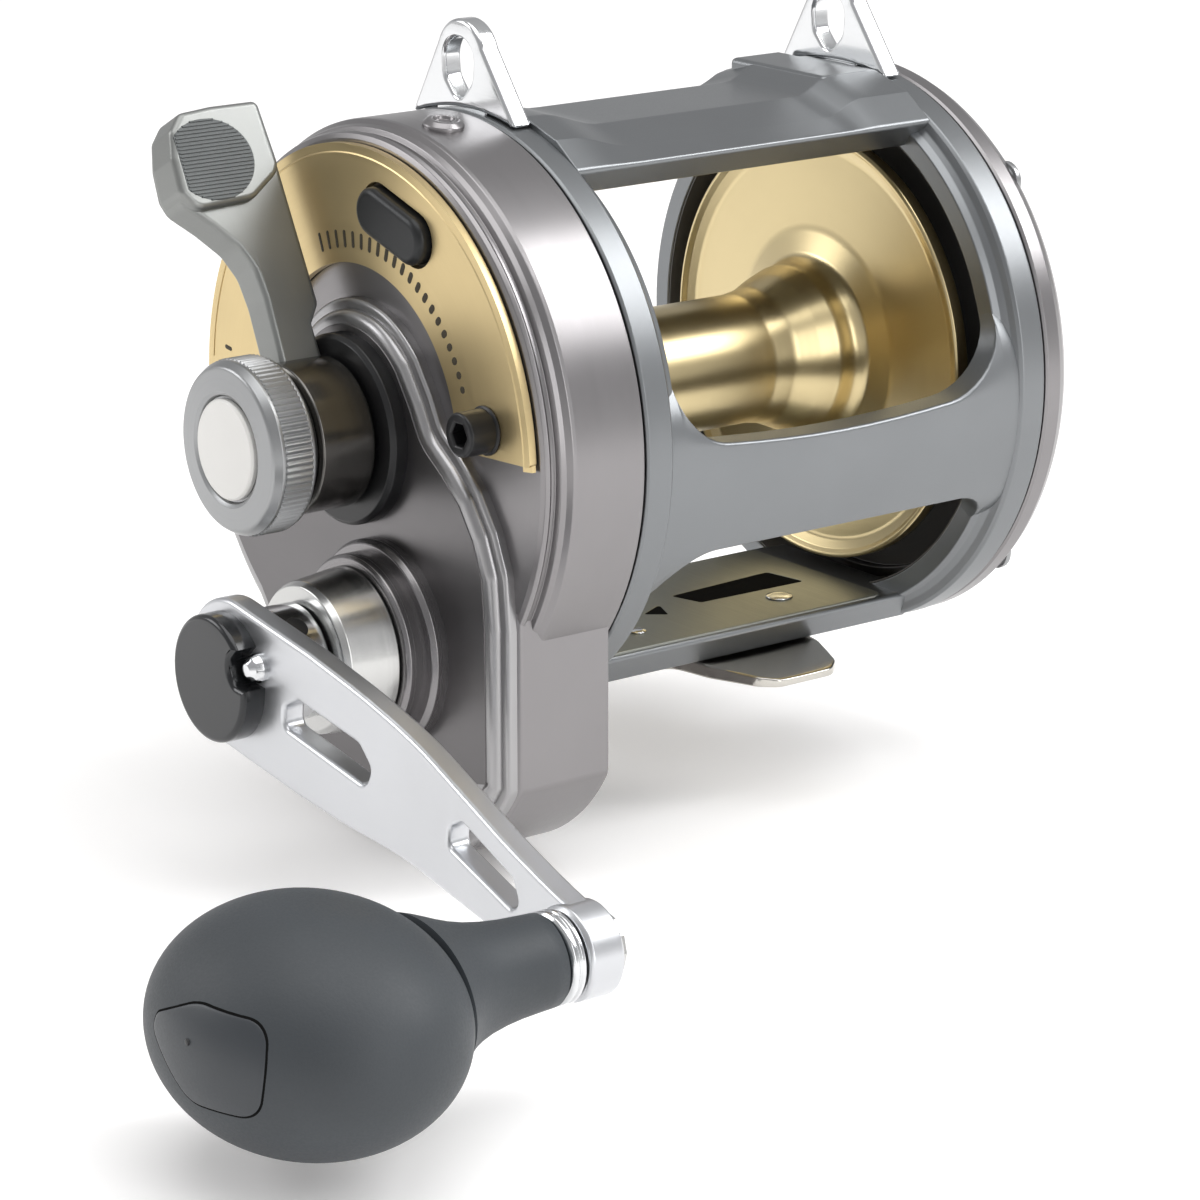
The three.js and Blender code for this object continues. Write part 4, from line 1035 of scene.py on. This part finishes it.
# ------------------------------------------------------------------ spool
def build_spool():
    profile = soften([
        (FLANGE_R - 0.2, 4.2, 0.3), (FLANGE_R, 4.6, 0.3), (FLANGE_R, 6.4, 0.3), (35.8, 7.0, 0.6),
        (34.6, 6.7, 0.6),
        (16, 7.6, 3), (12.0, 9.4, 2.5), (ARBOR_R, 12, 2), (ARBOR_R, 56, 6), (11.5, 60, 6), (13.2, 64, 6),
        (14.4, 67.5, 3), (14.2, 70.0, 3), (15.4, 72.0, 2), (20, 73.6, 6), (33.6, 74.4, 2), (35.4, 73.6, 0.6),
        (36.2, 72.8, 0.4), (FLANGE_R, 73.2, 0.3), (FLANGE_R, 75.4, 0.3), (35.4, 76.0, 0.5), (15, 77, 1),
        (11, 78.7, 0.3),
        (8.4, 78.7, 0.2), (8.4, 73, 0), (5.4, 73, 0), (5.4, 10, 0), (8.4, 10, 0), (8.4, 4.2, 0.2),
    ])
    piece("line_spool", lathe(profile), "spool", "spool", ["spool"])


# ------------------------------------------------------------------ left side plate
LEFT_SCREWS = [polar(44.6, angle) for angle in (45, 135, 225, 315)]


def build_left_side_plate():
    inner = FRAME_WIDTH + 0.3
    profile = soften([
        (0, inner + 1.6), (40, inner + 1.6, 0.2), (40, inner, 0.2), (47.5, inner, 0.2),
        (47.8, inner + 0.5, 0.2),
        (47.8, inner + 3.0, 0.5), (47.0, inner + 4.4, 0.6), (45.6, inner + 6.0, 0.8), (34, inner + 6.6, 0.5),
        (32, inner + 5.6, 0.5), (15.4, inner + 5.6, 0.5), (13.8, inner + 6.5, 0.5), (0, inner + 6.6),
    ])
    piece("left_cover", lathe(profile), "side_plates", "housing", ["left_side_plate"])
    rings = []
    for radius in (20, 24, 28):
        rings.append(turned([
            (radius, inner + 5.4, 0), (radius, inner + 5.8, 0.1), (radius + 0.5, inner + 5.85, 0.2),
            (radius + 1.0, inner + 5.8, 0.1), (radius + 1.0, inner + 5.4, 0),
        ], FINE))
    piece("left_cover_rings", joined(*rings), "side_plates", "housing")
    # A dull, darker grey lining the far ring's bore and the left plate's inside: painted shade in the
    # spool's well.
    cup = lathe([(41.72, 74.7), (41.72, inner - 0.5), (41.5, inner - 0.5), (41.5, 74.7)], FINE)
    plate = lathe([(12, inner + 1.5), (39.8, inner + 1.5), (39.8, inner + 1.65), (12, inner + 1.65)], FINE)
    piece("left_well_shaded_liner", joined(cup, plate), "liner", "housing")
    # A black sheet on the cover face: painted shade in the slot the click knob slides in.
    slot = slab(pill(9.0, 4.2, (-17, 0), 0, 12), inner + 5.45, inner + 5.68, 0.05, 0.05)
    piece("click_slot_shade", slot, "black", "housing")
    for i, (x, z) in enumerate(LEFT_SCREWS):
        top = inner + 3.5 + 2.0 + 0.4
        washer = turned([(0, top - 1.6), (3.2, top - 1.6, 0.1), (3.2, top - 0.6, 0.2), (0, top - 0.6)],
            SMALL, (x, z))
        head = slab(circle(2.7, (x, z), 40), -top, -(top - 2.0), 0.35, 0.1, [hex_loop(2.4, (x, z))])
        head = moved(head, Matrix.Diagonal((1, -1, 1, 1)))
        floor = lathe([(0, top - 1.3), (1.7, top - 1.3), (1.7, top - 1.8), (0, top - 1.8)], 24, (x, z))
        piece(f"left_screw_head_{i + 1}", joined(washer, head, floor), "knob", "housing",
              [f"left_plate_screw_{i + 1}"])


def build_click_button():
    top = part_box("click_button")[1].y / MM - SEAM_Y
    cap = knurled_ring(4.2, 0.18, 20, top - 2.4, top - 0.5, 0.2)
    dome = turned([(0, top), (2.6, top - 0.05, 0.6), (3.8, top - 0.6, 0.3), (0, top - 0.6)], SMALL)
    stem = lathe([(0, top - 10), (1.6, top - 10), (1.6, top - 2), (0, top - 2)], 24)
    knob = moved(joined(cap, dome, stem), Matrix.Translation((-19, 0, 0)))
    piece("click_knob", knob, "black", "clicker", ["click_button"])


# ------------------------------------------------------------------ lugs, foot and screws
LUG_X = -2.4


def build_lugs():
    for name, node in (("lug_right", "harness_lug_right"), ("lug_left", "harness_lug_left")):
        low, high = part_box(node)
        y0 = low.y / MM - SEAM_Y
        y1 = high.y / MM - SEAM_Y
        foot = arc(BODY_R + 0.2, 75, 109, 14)
        crown = arc(6.4, 158, 22, 28, (LUG_X, 55.8))
        loop = soften([(*foot[0], 0.5)] + foot[1:-1] + [(*foot[-1], 0.5)] + crown)
        hole = soften([
            *[(LUG_X - 0.4 + 3.9 * math.cos(a),
            55.6 + 3.7 * math.sin(a)) for a in [math.pi * k / 14 for k in range(15)]],
            (LUG_X - 4.0, 52.6, 2.4), (LUG_X - 0.4, 48.9, 2.0), (LUG_X + 3.2, 52.6, 2.4),
        ])
        eye = slab(loop, y0, y1, 0.7, 0.7, [hole], 4)
        tenon = block(LUG_X - 6.6, LUG_X + 6.6, y0 + 0.3, y1 - 0.3, 44.8, 49.0, 0.3)
        piece(name, joined(eye, tenon), "bright_steel", "housing", [node])


def build_foot():
    half = 31
    wing = 22.5
    outline_half = [
        (11, -wing, 1.5), (11.6, -13.2, 3), (20, -11.8, 6), (half - 2.5, -8.4, 4), (half, -5.6, 3),
        (half, 5.6, 3),
        (half - 2.5, 8.4, 4), (20, 11.8, 6), (11.6, 13.2, 3), (11, wing, 1.5),
    ]
    loop = soften(outline_half + [(-x, -y, r) for x, y, r in outline_half], steps=6)
    plate = slab(loop, 0, FOOT_TOP_Z - FOOT_BOTTOM_Z, 0.5, 0.35, steps=4)
    sliced(plate, X, range(-30, 31, 2))
    sliced(plate, Z, range(-12, 13, 2))
    depth = FOOT_TOP_Z - FOOT_BOTTOM_Z
    for vertex in plate.verts:
        beyond = max(abs(vertex.co.x) - 12.5, 0) / 18.5
        across = min(abs(vertex.co.z) / 12.5, 1)
        thin = 1 - 0.45 * beyond ** 1.4
        level = (depth - vertex.co.y) * thin
        dish = 0.9 * beyond * across ** 2
        vertex.co.y = depth - level - dish * (level / depth)
    plate = moved(turn_flat(plate), Matrix.Translation((0, FOOT_Y, FOOT_TOP_Z)))
    piece("foot_plate", plate, "foot", "housing", ["reel_foot"])


TOP_SCREW_TURN = 8.0  # degrees forward round the rim from its top


def build_top_screw():
    low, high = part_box("side_plate_screw")
    y = (low.y + high.y) / 2 / MM - SEAM_Y
    top = BODY_R + 1.35
    head = turned([
        (0, -0.7), (1.5, -0.7, 0.1), (1.7, -0.1, 0.2), (2.5, -0.2, 0.6), (3.3, -0.9, 0.4),
        (3.3, -1.7, 0), (0, -1.7),
    ], SMALL)
    upright = Matrix.Translation((0, y, top)) @ Matrix.Rotation(math.pi / 2, 4, "X")
    head = moved(head, Matrix.Rotation(math.radians(TOP_SCREW_TURN), 4, "Y") @ upright)
    piece("top_screw_head", head, "side_plates", "housing", ["side_plate_screw"])


# ------------------------------------------------------------------ CAD nodes that stay
KEPT = {
    "turned_steel": ["drive_shaft", "shaft_bearing_inner", "shaft_bearing_outer", "knob_post", "spool_shaft",
                     "spool_bearing_right", "spool_bearing_left", "pinion_bearing"],
    "bright_steel": ["ratchet_wheel", "pressure_plate", "lever_cam", "spring_washer_1", "spring_washer_2",
                     "preset_spring", "click_tongue", "anti_reverse_pawl", "foot_screw_1", "foot_screw_2",
                     "foot_screw_3", "foot_screw_4"],
    "carbon": ["drag_disc"],
    "bronze": ["main_gear", "pinion_gear", "click_gear"],
}


def dress_cad_nodes():
    for finish_name, names in KEPT.items():
        for name in names:
            node = frame["nodes"][name]
            node.data.materials.clear()
            node.data.materials.append(MATERIALS[finish_name])


# ------------------------------------------------------------------ studio
CAMERA_AT = Vector((0.5644, -0.4485, 0.2194))
CAMERA_TURN = (math.radians(73.56), 0.0, math.radians(52.73))
CAMERA_LENS = 133.2


def add_camera():
    data = bpy.data.cameras.new("camera")
    data.lens = CAMERA_LENS
    data.sensor_width = 36
    camera = bpy.data.objects.new("camera", data)
    camera.location = CAMERA_AT
    camera.rotation_euler = CAMERA_TURN
    bpy.context.scene.collection.objects.link(camera)
    bpy.context.scene.camera = camera


def add_area_light(name, at, target, size, power, color=(1, 1, 1), shape="RECTANGLE"):
    data = bpy.data.lights.new(name, "AREA")
    data.shape = shape
    data.size, data.size_y = size
    data.energy = power
    data.color = color
    light = bpy.data.objects.new(name, data)
    light.location = at
    light.rotation_euler = (Vector(target) - Vector(at)).to_track_quat("-Z", "Y").to_euler()
    bpy.context.scene.collection.objects.link(light)
    return light


def stage_plane(name, corners, color, roughness=0.9):
    mesh = bpy.data.meshes.new(name)
    mesh.from_pydata([Vector(c) for c in corners], [], [(0, 1, 2, 3)])
    plane = bpy.data.objects.new(name, mesh)
    bpy.context.scene.collection.objects.link(plane)
    material = bpy.data.materials.new(name)
    material.use_nodes = True
    shader = material.node_tree.nodes["Principled BSDF"]
    shader.inputs["Base Color"].default_value = (*color, 1)
    shader.inputs["Roughness"].default_value = roughness
    shader.inputs["Specular IOR Level"].default_value = 0.1
    shader.inputs["Emission Color"].default_value = (1.0, 0.975, 0.96, 1)
    shader.inputs["Emission Strength"].default_value = 0.16
    mesh.materials.append(material)
    return plane


def add_studio():
    floor_z = cad_box[0][2]
    reach = 6.0
    stage_plane("floor", [(-reach, -reach, floor_z), (reach, -reach, floor_z), (reach, reach, floor_z),
                          (-reach, reach, floor_z)], (0.93, 0.925, 0.92))
    world = bpy.data.worlds.new("studio")
    bpy.context.scene.world = world
    world.use_nodes = True
    tree = world.node_tree
    background = tree.nodes["Background"]
    coord = tree.nodes.new("ShaderNodeTexCoord")
    split = tree.nodes.new("ShaderNodeSeparateXYZ")
    tree.links.new(coord.outputs["Generated"], split.inputs[0])
    ramp = tree.nodes.new("ShaderNodeValToRGB")
    tree.links.new(split.outputs["Z"], ramp.inputs["Fac"])
    ramp.color_ramp.elements[0].position = 0.0
    ramp.color_ramp.elements[0].color = (0.80, 0.80, 0.80, 1)
    ramp.color_ramp.elements[1].position = 0.9
    ramp.color_ramp.elements[1].color = (0.55, 0.55, 0.55, 1)
    middle = ramp.color_ramp.elements.new(0.35)
    middle.color = (0.42, 0.42, 0.43, 1)
    tree.links.new(ramp.outputs["Color"], background.inputs["Color"])
    background.inputs["Strength"].default_value = 1.0
    centre = (0.0, 0.0, 0.05)
    add_area_light("top_softbox", (0.1, -0.1, 1.3), centre, (1.2, 1.2), 9)
    add_area_light("rear_softbox", (0.62, 0.80, 0.95), centre, (0.55, 0.8), 10)
    add_area_light("front_strip", (1.05, 0.0, 0.35), centre, (0.3, 0.9), 2.5)
    add_area_light("left_fill", (-0.75, -0.75, 0.6), centre, (0.5, 0.5), 3)
    bpy.context.scene.view_settings.view_transform = "Standard"


add_camera()
build_frame()
build_base_details()
build_gear_side_plate()
build_quadrant()
build_strike_button()
build_full_stop()
build_lever()
build_preset_knob()
build_crank_hub()
build_arm()
build_end_cap()
build_knob_collar()
build_grip()
build_spool()
build_left_side_plate()
build_click_button()
build_lugs()
build_foot()
build_top_screw()
dress_cad_nodes()
add_studio()
